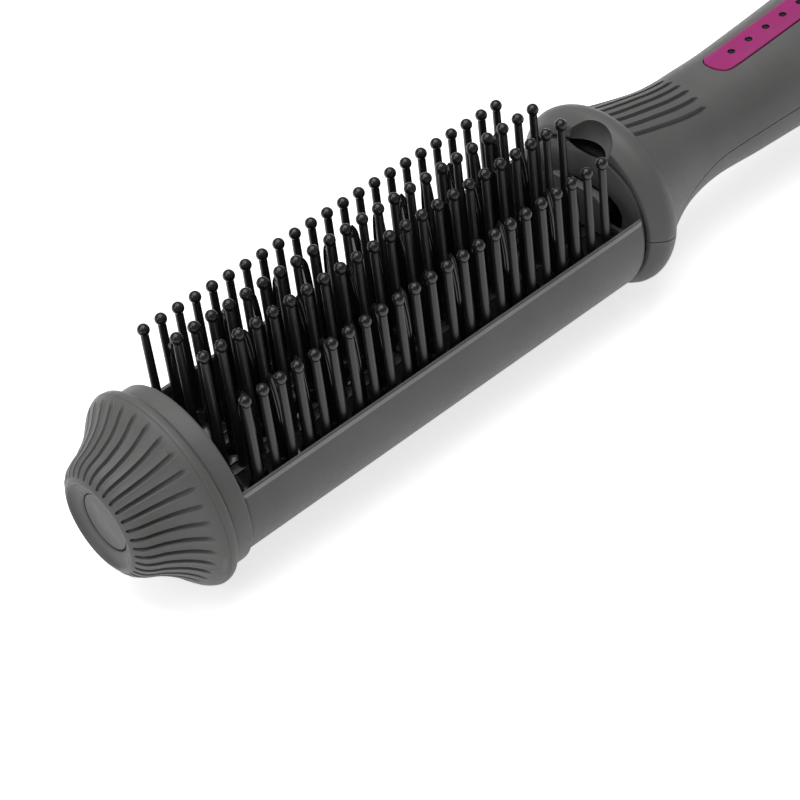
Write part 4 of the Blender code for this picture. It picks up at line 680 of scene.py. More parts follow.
# Height over the strip, share of the pin's base radius
PIN_FOOT = ((-STRIP_THICK / 4, 1.5), (0.05 * MM, 1.3), (0.35 * MM, 1.08), (0.9 * MM, 1.0))
BALL_STEPS = 10
# Height over the strip, share of the star's radius, up the side and down into the dish
STAR_LEVELS = ((-STRIP_THICK / 4, 1.02), (0.2 * MM, 1.0))
STAR_LEVELS += ((STAR_HEIGHT * 0.8, 0.84), (STAR_HEIGHT * 0.95, 0.8), (STAR_HEIGHT, 0.74))
STAR_LEVELS += ((STAR_HEIGHT * 0.97, 0.66), (STAR_HEIGHT * 0.8, 0.5), (STAR_HEIGHT * 0.75, 0.3))
STAR_POINT = 2.5
FIN_SHARES = (0, 0.12, 0.25, 0.38, 0.5, 0.6, 0.68, 0.75)
FIN_SHARES += (0.81, 0.86, 0.9, 0.935, 0.96, 0.98, 0.993, 1.0)
FIN_SECTION = (-0.94, -0.82, -0.66, -0.5, -0.25, 0.0, 0.25, 0.5, 0.66, 0.82, 0.94)
CENTRE_STRIP_HALF = INNER_ROW_Y - 1.8 * MM
SIDE_STRIP_EDGE = OUTER_ROW_Y - 1.7 * MM


def arc(radius, first, last, steps):
    """Points of (y, z) on a circle round the axis, between two angles."""
    return [(radius * cos(angle), radius * sin(angle)) for angle in spread(first, last, steps)]


def build_barrel():
    """The half-round shell with chamfered rims, each with a fine line inside it, and a painted
    highlight on the chamfers.
    """
    bore = BARREL_RADIUS - BARREL_WALL
    y_in = sqrt(bore**2 - RIM_HEIGHT**2)
    rows = [(BARREL_START_S + s * MM, drop * MM) for s, drop in BARREL_FRONT]
    shares = (0.2, 0.4, 0.6, 0.8)
    rows += [(between(BARREL_START_S, BARREL_END_S, share), 0.0) for share in shares]
    for turn in spread(0, pi / 2, BARREL_END_STEPS):
        s = BARREL_END_S - BARREL_END_ROUND * 1.6 * (1 - sin(turn))
        rows.append((s, BARREL_END_ROUND * (1 - cos(turn))))
    sections = []
    for s, drop in rows:
        radius = BARREL_RADIUS - drop
        y_out = sqrt(radius**2 - RIM_HEIGHT**2)
        size = min(1.0, (y_out - y_in) / BARREL_WALL)
        chamfer, lip = RIM_CHAMFER * size, RIM_ROUND * size
        outer = asin((RIM_HEIGHT - chamfer) / radius)
        inner = asin((RIM_HEIGHT - lip) / bore)
        edge = [(y_out - chamfer * a, RIM_HEIGHT - chamfer * b) for a, b in RIM_CORNER]
        edge.append((y_in + lip * 0.6, RIM_HEIGHT))
        outline = arc(radius, outer, -pi - outer, 120) + [(-y, z) for y, z in edge]
        outline += arc(bore, -pi - inner, inner, 60) + edge[::-1]
        sections.append([place(s, y, z) for y, z in outline])
    obj = dress(to_object("barrel_half", loft(sections)), "barrel_shell", CHARCOAL, 40)
    low, high = (AXIS_HEIGHT + RIM_HEIGHT - drop for drop in (RIM_CHAMFER, 0.05 * MM))

    # Painted highlight: the faces of each rim chamfer get the lighter charcoal in place of the
    # light that they catch
    def takes_painted_highlight(spot):
        reach = hypot(spot.y, spot.z - AXIS_HEIGHT)
        return low < spot.z < high and reach > bore + PAINTED_HIGHLIGHT_INSET

    paint(obj, CHARCOAL_PAINTED_HIGHLIGHT, takes_painted_highlight)


def add_pin(bm, s, y):
    """One tapered stem with a flared foot and a ball on its tip."""
    ball_z = sqrt(PIN_CIRCLE**2 - y**2)
    join = asin(PIN_NECK_RADIUS * 0.8 / PIN_BALL_RADIUS)
    neck_z = ball_z - PIN_BALL_RADIUS * cos(join)
    levels = [(STRIP_TOP + rise, PIN_BASE_RADIUS * share) for rise, share in PIN_FOOT]
    levels.append(((STRIP_TOP + neck_z) / 2, (PIN_BASE_RADIUS + PIN_NECK_RADIUS) / 2))
    levels += [(neck_z - 0.5 * MM, PIN_NECK_RADIUS), (neck_z - 0.1 * MM, PIN_NECK_RADIUS * 0.93)]
    for angle in spread(join - pi / 2, pi * 0.47, BALL_STEPS):
        height, radius = (PIN_BALL_RADIUS * part(angle) for part in (sin, cos))
        levels.append((ball_z + height, radius))
    pillar(bm, s, y, levels, 18)


def backing(node, low_y, high_y):
    """The strip that a row stands on, from side to side, with rounded edges."""
    bm = bmesh.new()
    start, end = span(node)
    block(bm, (start, low_y, STRIP_BOTTOM), (end, high_y, STRIP_TOP))
    bmesh.ops.bevel(
        bm, geom=bm.edges[:], offset=STRIP_ROUND, segments=2, affect="EDGES", profile=0.5
    )
    return bm


def strip_of_pins(name, node, row_y):
    """A backing strip with its row of pins."""
    bm = backing(node, *(corner.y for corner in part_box(node)))
    for i in range(PIN_COUNT):
        add_pin(bm, FIRST_PIN_S + i * PIN_PITCH, row_y)
    obj = dress(to_object(name, bm), node, SATIN_BLACK)
    neck = place(0, 0, sqrt(PIN_CIRCLE**2 - row_y**2) - PIN_BALL_RADIUS * 0.9).z
    paint(obj, BALL_BLACK, lambda spot: spot.z > neck)


def add_star(bm, s, y):
    """The four-pointed boss at a fin's foot, with hollow sides and a dished top."""
    shape = []
    for turn in turns(40, 0):
        parts = cos(turn), sin(turn)
        shape.append([copysign(abs(part) ** STAR_POINT, part) for part in parts])
    rings = []
    for rise, share in STAR_LEVELS:
        radius = STAR_RADIUS * share
        rings.append([place(s + radius * a, y + radius * b, STRIP_TOP + rise) for a, b in shape])
    loft(rings, bm)


def add_fin(bm, s, y):
    """A thin paddle with a thick rounded rim, set across the brush."""
    tip = sqrt(FIN_CIRCLE**2 - y**2)
    foot = STRIP_TOP - STRIP_THICK / 4
    rings = []
    for share in FIN_SHARES:
        z = between(foot, tip, share)
        narrow = max(0.0, (share - 0.45) / 0.55)
        width = FIN_HALF_WIDTH * max(0.06, (1 - narrow**2.3) ** 0.62)
        width *= between(0.9, 1.0, min(1.0, share * 2))
        thick = FIN_HALF_THICK * min(1.0, width / (FIN_HALF_WIDTH * 0.45))
        front = []
        for across in FIN_SECTION:
            rim = smooth_step((abs(across) - 0.5) / 0.3)
            edge = sqrt(max(0.05, 1 - max(0.0, (abs(across) - 0.8) / 0.2) ** 2))
            web = between(0.5, 1.0, max(rim, smooth_step((share - 0.9) / 0.06)))
            front.append((across * width, thick * web * edge))
        back = [(across, -depth) for across, depth in reversed(front)]
        loop = [(-width, 0.0)] + front + [(width, 0.0)] + back
        rings.append([place(s + depth, y + across, z) for across, depth in loop])
    loft(rings, bm)


def strip_of_fins(name, node, row_y, first_s, count):
    """A backing strip with its star bosses and fins."""
    low_y, high_y = -CENTRE_STRIP_HALF, CENTRE_STRIP_HALF
    if row_y:
        edges = (min(abs(corner.y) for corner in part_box(node)), SIDE_STRIP_EDGE)
        low_y, high_y = sorted(copysign(y, row_y) for y in edges)
    bm = backing(node, low_y, high_y)
    for i in range(count):
        add_star(bm, first_s + i * FIN_PITCH, row_y)
        add_fin(bm, first_s + i * FIN_PITCH, row_y)
    dress(to_object(name, bm), node, GLOSS_BLACK)


def build_bristles():
    """The four rows of pins and the three rows of fins."""
    for word, side in (("left", 1), ("right", -1)):
        for row, row_y in (("outer", OUTER_ROW_Y), ("inner", INNER_ROW_Y)):
            strip_of_pins(f"{row}_pins_{word}", f"{row}_pin_strip_{word}", side * row_y)
        fins_y = side * SIDE_FIN_Y
        strip_of_fins(f"fins_{word}", f"fin_strip_{word}", fins_y, FIRST_FIN_S, FIN_COUNT)
    between_s = FIRST_FIN_S + FIN_PITCH / 2
    strip_of_fins("fins_centre", "fin_strip_centre", 0.0, between_s, FIN_COUNT - 1)


# The end plate

PLATE_SET_BACK = 0.9 * MM
PLATE_GAP = 1.3 * MM
# (y, z) in mm along the bottom of the plate's notch
NOTCH_LINE = ((6.2, 18.6), (4.3, 16.9), (2.0, 16.3), (-0.3, 16.1))
NOTCH_LINE += ((-2.7, 16.15), (-4.9, 16.6), (-7.2, 17.5), (-9.0, 18.6))
NOTCH_TOP = 22 * MM
NOTCH_FALL = 3.2 * MM
OPENING_DROP = 2.5 * MM
OPENING_EDGE = 0.5 * MM
# The two balls that the scoop wraps, in mm: s behind the collar's front, y, z and radius
SCOOP_BALLS = ((-2.85, -3.7, 21.8, 6.9), (-1.8, 3.0, 17.6, 2.4))
OPENING_ROOM = 0.08 * MM
OPENING_LOW_DEGREES = 10
OPENING_RISE_DEGREES = 55
OUTLET_SHARES = ((0.704, -0.166), (0.658, 0.055), (0.568, 0.221), (0.442, 0.312), (0.15, 0.352))
CORE_SHARES = (0.523, 0.437)
CORE_AHEAD = 2.8 * MM
CORE_CHAMFER = 1.6 * MM
CORE_CROWN = 0.4 * MM
SPIGOT_RADIUS = 12.6 * MM
SPIGOT_WALL = 1.6 * MM
BALL_TILTS = 40
BALL_TURNS = 72


def opening_radius(angle):
    """The inner edge of the collar's front face at an angle from the top, where it is lower."""
    past = (abs(angle) - radians(OPENING_LOW_DEGREES)) / radians(OPENING_RISE_DEGREES)
    return COLLAR_BORE - OPENING_ROOM - OPENING_DROP * (1 - smooth_step(past))


def plate_ring(s, drop):
    """A ring of the plate, which keeps clear of the collar's opening."""
    points = []
    for turn in turns(ROUND_STEPS):
        room = opening_radius(pi - abs(turn - pi)) - PLATE_GAP
        points.append(from_top(s, min(PLATE_RADIUS, room) - drop, turn))
    return points


def scoop_shape():
    """The smooth hollow over the plate: a skin round two balls."""
    bm = bmesh.new()
    for ball in SCOOP_BALLS:
        s, y, z, radius = (value * MM for value in ball)
        middle = place(COLLAR_S + s, y, z)
        for i in range(1, BALL_TILTS):
            up, out = (part(pi * i / BALL_TILTS) for part in (cos, sin))
            for turn in turns(BALL_TURNS, 0.5 * (i % 2)):
                ray = Vector((out * cos(turn), out * sin(turn), up))
                bm.verts.new(middle + ray * radius)
    bmesh.ops.convex_hull(bm, input=bm.verts[:])
    loose = [vert for vert in bm.verts if not vert.link_faces]
    bmesh.ops.delete(bm, geom=loose, context="VERTS")
    return bm


def build_plate():
    """The plate behind the bristles with its arch-shaped air outlet and spigot."""
    spigot_end = span("end_plate")[1]
    front = PLATE_S + PLATE_SET_BACK
    edge = [(front, 0.15 * MM), (front + 0.04 * MM, 0.05 * MM), (front + 0.15 * MM, 0.0)]
    rings = [plate_ring(s, drop) for s, drop in edge + [(PLATE_BACK_S, 0.0)]]
    spigot = [
        (PLATE_BACK_S, SPIGOT_RADIUS),
        (spigot_end, SPIGOT_RADIUS),
        (spigot_end, SPIGOT_RADIUS - SPIGOT_WALL),
        (PLATE_BACK_S - 2 * CLEARANCE, SPIGOT_RADIUS - SPIGOT_WALL),
    ]
    rings += [[from_top(s, radius, turn) for turn in turns(ROUND_STEPS)] for s, radius in spigot]
    obj = to_object("air_plate", loft(rings))
    corners = [(NOTCH_LINE[i][0] * MM, NOTCH_TOP) for i in (-1, 0)]
    sections = []
    for s, fall in ((front - CLEARANCE, -NOTCH_FALL / 8), (PLATE_BACK_S + 0.05 * MM, NOTCH_FALL)):
        line = [(y * MM, z * MM - fall) for y, z in NOTCH_LINE]
        sections.append([place(s, y, z) for y, z in line + corners])
    combine(obj, "plate_notch", loft(sections))
    right = [(PLATE_RADIUS * y, PLATE_RADIUS * z) for y, z in OUTLET_SHARES]
    outlet = prism(right + mirror(right), PLATE_S - MM, PLATE_BACK_S - CLEARANCE)
    combine(obj, "outlet_cutter", outlet)
    soften(obj, 0.15 * MM)
    dress(obj, "end_plate", CHARCOAL)


def build_core():
    """The block in the outlet, with broad chamfers."""
    half, top = (PLATE_RADIUS * share for share in CORE_SHARES)
    foot = STRIP_TOP + CLEARANCE
    right = [(half, top - CORE_CHAMFER), (half - 1.5 * CORE_CHAMFER, top)]
    outline = [(-half, foot), (half, foot)] + right + [(0.0, top + CORE_CROWN)] + mirror(right)
    start, end = span("outlet_core")
    plate_front = PLATE_S + PLATE_SET_BACK
    stations = ((start - CORE_AHEAD, 1.0), (start, 0.9), (plate_front, 0.62), (end, 0.5))
    core = loft([[place(s, y * share, z * share) for y, z in outline] for s, share in stations])
    obj = to_object("air_core", core)
    soften(obj, 0.3 * MM, 3)
    dress(obj, "outlet_core", CHARCOAL)


# The handle's shells

# In mm: behind the collar's front or its end, and in from its radius
COLLAR_FRONT = ((0.0, 0.25), (0.06, 0.05))
COLLAR_RIDGE = ((-0.18, 0.0), (-0.04, 0.06), (0.04, 0.3))
COLLAR_SHARES = (0.02, 0.05, 0.1, 0.18, 0.28, 0.4, 0.52, 0.64, 0.76, 0.86, 0.94)
NECK_FOOT = 0.12 * MM
NECK_STEPS = 36
GRIP_STEPS = 26
REAR_STEPS = 44
SHELL_STEPS = 72
SHELL_BORE_STEPS = 30
SCREW_HOLE_RADIUS = 2.7 * MM
CRESCENT_DEGREES = 62
CRESCENT_STEPS = 72
# mm behind the front, share of the opening's rounded edge
CRESCENT_ROWS = ((0.0, 1.0), (0.12, 0.45), (0.3, 0.12), (0.5, 0.0))


def shell_radius(s):
    """The handle's outer radius: collar, slim neck, grip and flared rear end."""
    if s <= COLLAR_END_S:
        share = max(0.0, (s - COLLAR_S) / COLLAR_LENGTH)
        widest = COLLAR_RADIUS + COLLAR_BULGE
        if share < COLLAR_BULGE_SHARE:
            turn = pi / 2 * share / COLLAR_BULGE_SHARE
            return between(COLLAR_FRONT_RADIUS, widest, sin(turn))
        fall = (share - COLLAR_BULGE_SHARE) / (1 - COLLAR_BULGE_SHARE)
        return between(widest, COLLAR_RADIUS, fall**2)
    if s <= NECK_S:
        share = (NECK_S - s) / (NECK_S - COLLAR_END_S)
        return between(NECK_RADIUS, COLLAR_RADIUS - SHELL_WALL / 2, share**NECK_SLOPE)
    if s <= GRIP_S:
        return between(NECK_RADIUS, GRIP_RADIUS, ((s - NECK_S) / (GRIP_S - NECK_S)) ** 1.4)
    share = (s - GRIP_S) / (SHELL_END_S - GRIP_S)
    return between(GRIP_RADIUS, REAR_RADIUS, 0.35 * share + 0.65 * smooth_step(share))


def shell_lift(s):
    """How far the handle's middle stands above the barrel's axis."""
    if s <= COLLAR_END_S:
        return 0.0
    if s <= NECK_S:
        share = (s - COLLAR_END_S) / (NECK_S - COLLAR_END_S)
        return NECK_LIFT * sin(min(1.0, share * 1.85) * pi / 2)
    if s <= GRIP_S:
        return between(NECK_LIFT, GRIP_LIFT, smooth_step((s - NECK_S) / NECK_SETTLE))
    return GRIP_LIFT * (1 - smooth_step((s - GRIP_S) / (SHELL_END_S - GRIP_S)))


def parting(s):
    """The height at which the two shells meet."""
    if s <= COLLAR_END_S:
        return between(PARTING_FRONT, PARTING_RIDGE, ((s - COLLAR_S) / COLLAR_LENGTH) ** 2)
    share = smooth_step((s - COLLAR_END_S) / NECK_LENGTH)
    return between(PARTING_RIDGE, PARTING_BACK, share)


def shell_bore(s):
    """The inner radius of the shells."""
    if s <= COLLAR_END_S - SHELL_WALL:
        return COLLAR_BORE
    share = (s - COLLAR_END_S + SHELL_WALL) / (SHELL_WALL * 2)
    if share < 1:
        return between(COLLAR_BORE, shell_radius(COLLAR_END_S + SHELL_WALL) - SHELL_WALL, share)
    return shell_radius(s) - SHELL_WALL


def top_of_shell(s, y):
    """The height of the handle's top surface at a place."""
    return shell_lift(s) + sqrt(shell_radius(s) ** 2 - y**2)


def shell_rows():
    """(s, outer radius, lift) rows, with soft edges at the collar's ends."""
    rows = []
    for behind, drop in COLLAR_FRONT:
        s = COLLAR_S + behind * MM
        rows.append((s, shell_radius(s) - drop * MM, 0.0))
    for share in COLLAR_SHARES:
        s = between(COLLAR_S, COLLAR_END_S, share)
        rows.append((s, shell_radius(s), 0.0))
    for behind, drop in COLLAR_RIDGE:
        rows.append((COLLAR_END_S + behind * MM, COLLAR_RADIUS - drop * MM, 0.0))
    foot = COLLAR_END_S + NECK_FOOT
    stations = [between(foot, NECK_S, share**1.15) for share in spread(0, 1, NECK_STEPS)]
    for first, last, steps in ((NECK_S, GRIP_S, GRIP_STEPS), (GRIP_S, SHELL_END_S, REAR_STEPS)):
        stations += spread(first, last, steps)[1:]
    return rows + [(s, shell_radius(s), shell_lift(s)) for s in stations]


def shell_section(s, radius, lift, side):
    """A half-round section of a shell: along the outside and back along the bore."""
    points = []
    edge_height = parting(s) + side * CLEARANCE / 2 - lift
    bore = min(shell_bore(s), radius - CLEARANCE)
    for reach, steps, run in ((radius, SHELL_STEPS, 1), (bore, SHELL_BORE_STEPS, -1)):
        edge = asin(edge_height / reach)
        first, last = (edge, side * pi - edge)[::run]
        points += [from_side(s, reach, angle, lift) for angle in spread(first, last, steps)]
    return points


def half_shell(name, side):
    """One half of the handle."""
    rows = shell_rows()
    return to_object(name, loft([shell_section(s, reach, lift, side) for s, reach, lift in rows]))


GROOVES = 7
GROOVE_PITCH = 2.85 * MM
GROOVE_HALF = 0.62 * MM
GROOVE_DEPTH = 1.2 * MM
GROOVE_AHEAD = 0.35 * MM
GROOVE_LENGTH = 26.0 * MM
GROOVE_ROUND = 1.2 * MM
GROOVE_STEPS = 26
GROOVE_SIDE = ((-1.1, 0.0), (-1.0, -0.3), (-0.8, -0.75))
STRIP_ROUND_STEPS = 12
STRIP_STEPS = 60
STRIP_ACROSS = 6


def neck_grooves():
    """Rounded bars laid along the neck, one for each groove."""
    bm = bmesh.new()
    start = COLLAR_END_S + GROOVE_AHEAD
    for groove in range(GROOVES):
        y = (groove - (GROOVES - 1) / 2) * GROOVE_PITCH
        rings = []
        for share in spread(0, 1, GROOVE_STEPS):
            s = between(start, start + GROOVE_LENGTH, share)
            from_end = min(share, 1 - share) * GROOVE_LENGTH
            inside = min(1.0, max(0.02, from_end / GROOVE_ROUND))
            ease = sqrt(1 - (1 - inside) ** 2)
            half = GROOVE_HALF * max(0.25, ease)
            depth = GROOVE_DEPTH * max(0.3, ease)
            side = [(-half * 1.15, MM)] + [(half * p, depth * q) for p, q in GROOVE_SIDE]
            outline = side + [(0.0, -depth)] + mirror(side)
            top = top_of_shell(s, y)
            rings.append([place(s, y + across, top + rise) for across, rise in outline])
        loft(rings, bm)
    return bm


def strip_solid(half, proud, depth):
    """The control strip's shape with round ends, laid along the top of the handle."""
    grow = half - STRIP_HALF
    start, end = STRIP_START_S - grow, STRIP_END_S + grow
    ends = []
    for turn in spread(0, pi / 2, STRIP_ROUND_STEPS)[:-1]:
        ends.append((half * (1 - cos(turn)), max(0.05 * MM, half * sin(turn))))
    rows = [(start + inside, width) for inside, width in ends]
    rows += [(s, half) for s in spread(start + half, end - half, STRIP_STEPS)]
    rows += [(end - inside, width) for inside, width in reversed(ends)]
    across = [i / STRIP_ACROSS for i in range(-STRIP_ACROSS, STRIP_ACROSS + 1)]
    sections = []
    for s, width in rows:
        line = [(width * share, proud) for share in across]
        line += [(width * share, -depth) for share in reversed(across)]
        sections.append([place(s, y, top_of_shell(s, y) + rise) for y, rise in line])
    return loft(sections)


BUTTON_S = sum(span("cool_button")) / 2
BUTTON_HALF_LENGTH = 5.6 * MM
BUTTON_HALF_WIDTH = 2.7 * MM
BUTTON_PROUD = 1.3 * MM
SLIDER_S = sum(span("speed_slider")) / 2
SLIDER_HALF_LENGTH = 4.6 * MM
SLIDER_HALF_WIDTH = 3.3 * MM
SLIDER_HEIGHT = 2.4 * MM
SLIDER_RIBS = 5
SLIDER_RIB_DEPTH = 0.55 * MM
SLIDER_END_ROUND = 0.9 * MM
SLIDER_STEPS = 60
# Share of the half width, mm down from the top
SLIDER_SIDE = ((-1.0, 0.5), (-0.93, 0.12), (-0.82, 0.0), (0.82, 0.0), (0.93, 0.12), (1.0, 0.5))
BUTTON_LIP = 0.8 * MM
# In mm: down from the top, growth
BUTTON_TOP = ((0.6, 0.0), (0.3, -0.06), (0.08, -0.25), (0.0, -0.55), (0.05, -0.8), (0.3, -1.6))


def button_bar(levels, slope=0.0, bm=None):
    """An upright oval bar at the button, with a (height, growth) for each level."""
    rings = []
    for z, grow in levels:
        width = BUTTON_HALF_WIDTH + grow
        points = []
        for turn in turns(48):
            straight = copysign(BUTTON_HALF_LENGTH - BUTTON_HALF_WIDTH, cos(turn))
            along = straight + width * cos(turn)
            points.append(place(BUTTON_S + along, width * sin(turn), z + slope * along))
        rings.append(points)
    return loft(rings, bm)


def control_openings():
    """The holes for the button and the slider's stem."""
    low = top_of_shell(BUTTON_S, 0) - SHELL_WALL - 2 * MM
    high = top_of_shell(SLIDER_S, 0) + 4 * MM
    bm = button_bar(((low, CLEARANCE), (high, CLEARANCE)))
    middle = SLIDER_S + SLIDER_TRAVEL / 2
    length = STEM_HALF_LENGTH + SLIDER_TRAVEL / 2 + CLEARANCE
    width = STEM_HALF_WIDTH + CLEARANCE
    block(bm, (middle - length, -width, low), (middle + length, width, high))
    return bm


def collar_face():
    """The crescent that narrows the collar's opening at the top, with a rounded inner edge."""
    reach = (COLLAR_BORE + COLLAR_FRONT_RADIUS) / 2
    limit = radians(CRESCENT_DEGREES)
    angles = spread(-limit, limit, CRESCENT_STEPS)
    start = COLLAR_S + 0.05 * MM
    rows = [(start + behind * MM, OPENING_EDGE * share) for behind, share in CRESCENT_ROWS]
    sections = []
    for s, back in rows + [(COLLAR_END_S - CLEARANCE, 0.0)]:
        section = [from_top(s, reach, angle) for angle in angles]
        for angle in reversed(angles):
            radius = min(opening_radius(angle) + back, reach - 0.1 * MM)
            section.append(from_top(s, radius, angle))
        sections.append(section)
    return loft(sections)


def build_upper_shell():
    """The upper shell with its scoop, neck grooves, strip channel and openings."""
    obj = half_shell("upper_shell", 1)
    combine(obj, "collar_face", collar_face(), "UNION")
    combine(obj, "scoop_cutter", scoop_shape())
    combine(obj, "groove_cutter", neck_grooves())
    channel = strip_solid(STRIP_HALF + CLEARANCE, 2 * MM, STRIP_DEPTH + CLEARANCE)
    combine(obj, "channel_cutter", channel)
    combine(obj, "opening_cutter", control_openings())
    dress(obj, "handle_upper_shell", CHARCOAL, 30)


def build_lower_shell():
    """The lower shell with its screw holes and the flat that it rests on."""
    obj = half_shell("lower_shell", -1)
    holes = bmesh.new()
    for name in ("shell_screw_front", "shell_screw_rear"):
        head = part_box(name)[0].z - AXIS_HEIGHT
        levels = [(head - 4 * MM, SCREW_HOLE_RADIUS), (head + 1.9 * MM, SCREW_HOLE_RADIUS)]
        pillar(holes, sum(span(name)) / 2, 0.0, levels, 48)
    combine(obj, "screw_holes", holes)
    cut_rest(obj, "rest_cutter", COLLAR_S, SHELL_END_S + MM)
    dress(obj, "handle_lower_shell", CHARCOAL, 30)


# The control strip, button and slider


def build_control_strip():
    """The magenta strip with its row of dark dimples."""
    obj = to_object("colour_strip", strip_solid(STRIP_HALF, STRIP_PROUD, STRIP_DEPTH))
    dots = bmesh.new()
    for i in range(DOT_COUNT):
        s = DOT_START_S + i * DOT_PITCH
        top = top_of_shell(s, 0) + STRIP_PROUD
        pillar(dots, s, 0.0, ((top - DOT_DEPTH, DOT_RADIUS * 0.8), (top + MM, DOT_RADIUS * 1.05)))
    combine(obj, "dimple_cutter", dots)
    combine(obj, "strip_opening_cutter", control_openings())
    soften(obj, 0.12 * MM)
    obj = dress(obj, "control_strip", MAGENTA, 30)

    def in_dimple(spot):
        s = spot.x - CAD_BOX[0].x
        dimple = round((s - DOT_START_S) / DOT_PITCH)
        near = hypot(s - DOT_START_S - dimple * DOT_PITCH, spot.y) < DOT_RADIUS * 0.98
        low = spot.z - AXIS_HEIGHT < top_of_shell(s, 0) + STRIP_PROUD - DOT_DEPTH * 0.3
        return 0 <= dimple < DOT_COUNT and near and low

    paint(obj, GLOSS_BLACK, in_dimple)


def build_button():
    """The push button with a dished top and the lip that keeps it in."""
    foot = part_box("cool_button")[0].z - AXIS_HEIGHT
    lip = foot + BUTTON_LIP
    first, last = (top_of_shell(BUTTON_S + end * BUTTON_HALF_LENGTH, 0) for end in (-1, 1))
    top = top_of_shell(BUTTON_S, 0) + STRIP_PROUD + BUTTON_PROUD
    bm = button_bar(((foot, BUTTON_LIP), (lip, BUTTON_LIP)))
    levels = [(lip - 0.1 * MM, 0.0)] + [(top - drop * MM, grow * MM) for drop, grow in BUTTON_TOP]
    button_bar(levels, (last - first) / (2 * BUTTON_HALF_LENGTH), bm)
    dress(to_object("push_button", bm), "cool_button", SATIN_BLACK)


def build_slider():
    """The ribbed slider cap on its stem."""
    low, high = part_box("speed_slider")
    half = SLIDER_HALF_LENGTH
    climb = top_of_shell(SLIDER_S + SLIDER_TRAVEL, 0) - top_of_shell(SLIDER_S, 0)
    slope = climb / SLIDER_TRAVEL
    base = high.z - AXIS_HEIGHT - SLIDER_HEIGHT - slope * half
    outline = [(-half, 0.0)]
    for along in spread(-half, half, SLIDER_STEPS):
        from_end = min(1.0, max(0.0, half - abs(along)) / SLIDER_END_ROUND)
        height = SLIDER_HEIGHT * between(0.35, 1.0, sqrt(from_end))
        wave = 0.5 - 0.5 * cos(2 * pi * (along / half * SLIDER_RIBS / 2 + 0.5))
        dip = SLIDER_RIB_DEPTH * wave * smooth_step((half * 0.8 - abs(along)) / MM)
        outline.append((along, height - dip))
    outline.append((half, 0.0))
    sides = []
    for share, drop in SLIDER_SIDE:
        section = []
        for along, height in outline:
            z = base + slope * along + max(0.0, height - drop * MM)
            section.append(place(SLIDER_S + along, share * SLIDER_HALF_WIDTH, z))
        sides.append(section)
    bm = loft(sides)
    foot = low.z - AXIS_HEIGHT
    length, width = STEM_HALF_LENGTH, STEM_HALF_WIDTH
    block(bm, (SLIDER_S - length, -width, foot), (SLIDER_S + length, width, base + 0.3 * MM))
    dress(to_object("slider_cap", bm), "speed_slider", SATIN_BLACK)


# The rear end

GRILLE_WALL = 1.8 * MM
GRILLE_ROUND = 0.9 * MM
GRILLE_SLOTS = 12
SLOT_INNER = 9.4 * MM
SLOT_OUTER = REAR_RADIUS - 4.2 * MM
SLOT_HALF = 1.1 * MM
GLAND_BORE = 3.4 * MM
GLAND_RADIUS = 6.2 * MM
GLAND_FLANGE = 7.8 * MM
GLAND_FLANGE_THICK = 1.6 * MM
GLAND_RIBS_AHEAD = 6.4 * MM
GLAND_RIBS = 4
GLAND_RIB_PITCH = 1.35 * MM
# In mm: along and in for one groove, ahead of the end and in for the end's round edge
GLAND_RIB = ((0.0, 0.0), (0.25, 0.5), (0.75, 0.5), (1.0, 0.0))
GLAND_END = ((0.7, 0.0), (0.2, 0.3), (0.0, 0.9))


def build_grille():
    """The rear cap with its ring of air slots."""
    hub = GLAND_RADIUS + CLEARANCE
    end = GRILLE_END_S
    profile = [
        (GRILLE_S, REAR_RADIUS - GRILLE_WALL),
        (GRILLE_S, REAR_RADIUS),
        (end - 2.4 * MM, REAR_RADIUS - 0.4 * MM),
        (end, REAR_RADIUS - 2.8 * MM),
        (end, hub),
        (end - GRILLE_WALL, hub),
        (end - GRILLE_WALL, REAR_RADIUS - GRILLE_WALL - 1.4 * MM),
    ]
    obj = to_object("rear_cap", turned(rounded(profile, GRILLE_ROUND)))
    slots = bmesh.new()
    outline = []
    for angle in turns(24):
        middle = SLOT_OUTER if sin(angle) > 0 else SLOT_INNER
        outline.append((SLOT_HALF * cos(angle), middle + SLOT_HALF * sin(angle) * 0.9))
    for turn in turns(GRILLE_SLOTS):
        rotation = Matrix.Rotation(turn, 2)
        spots = [rotation @ Vector(point) for point in outline]
        loft([[place(s, y, z) for y, z in spots] for s in (GRILLE_S - MM, end + MM)], slots)
    combine(obj, "slot_cutter", slots)
    cut_rest(obj, "grille_rest", GRILLE_S - MM, end + MM)
    soften(obj, 0.12 * MM)
    dress(obj, "rear_grille", CHARCOAL)


def build_gland():
    """The swivelling cord gland in the rear cap."""
    start, end = span("cord_gland")
    flange_end = start + GLAND_FLANGE_THICK
    profile = [(start, GLAND_BORE), (start, GLAND_FLANGE), (flange_end, GLAND_FLANGE)]
    profile.append((flange_end, GLAND_RADIUS))
    for i in range(GLAND_RIBS):
        s = end - GLAND_RIBS_AHEAD + i * GLAND_RIB_PITCH
        profile += [(s + along * MM, GLAND_RADIUS - drop * MM) for along, drop in GLAND_RIB]
    profile += [(end - ahead * MM, GLAND_RADIUS - drop * MM) for ahead, drop in GLAND_END]
    profile.append((end, GLAND_BORE))
    dress(to_object("gland", turned(profile, 96)), "cord_gland", SATIN_BLACK)


# Floor, light and camera

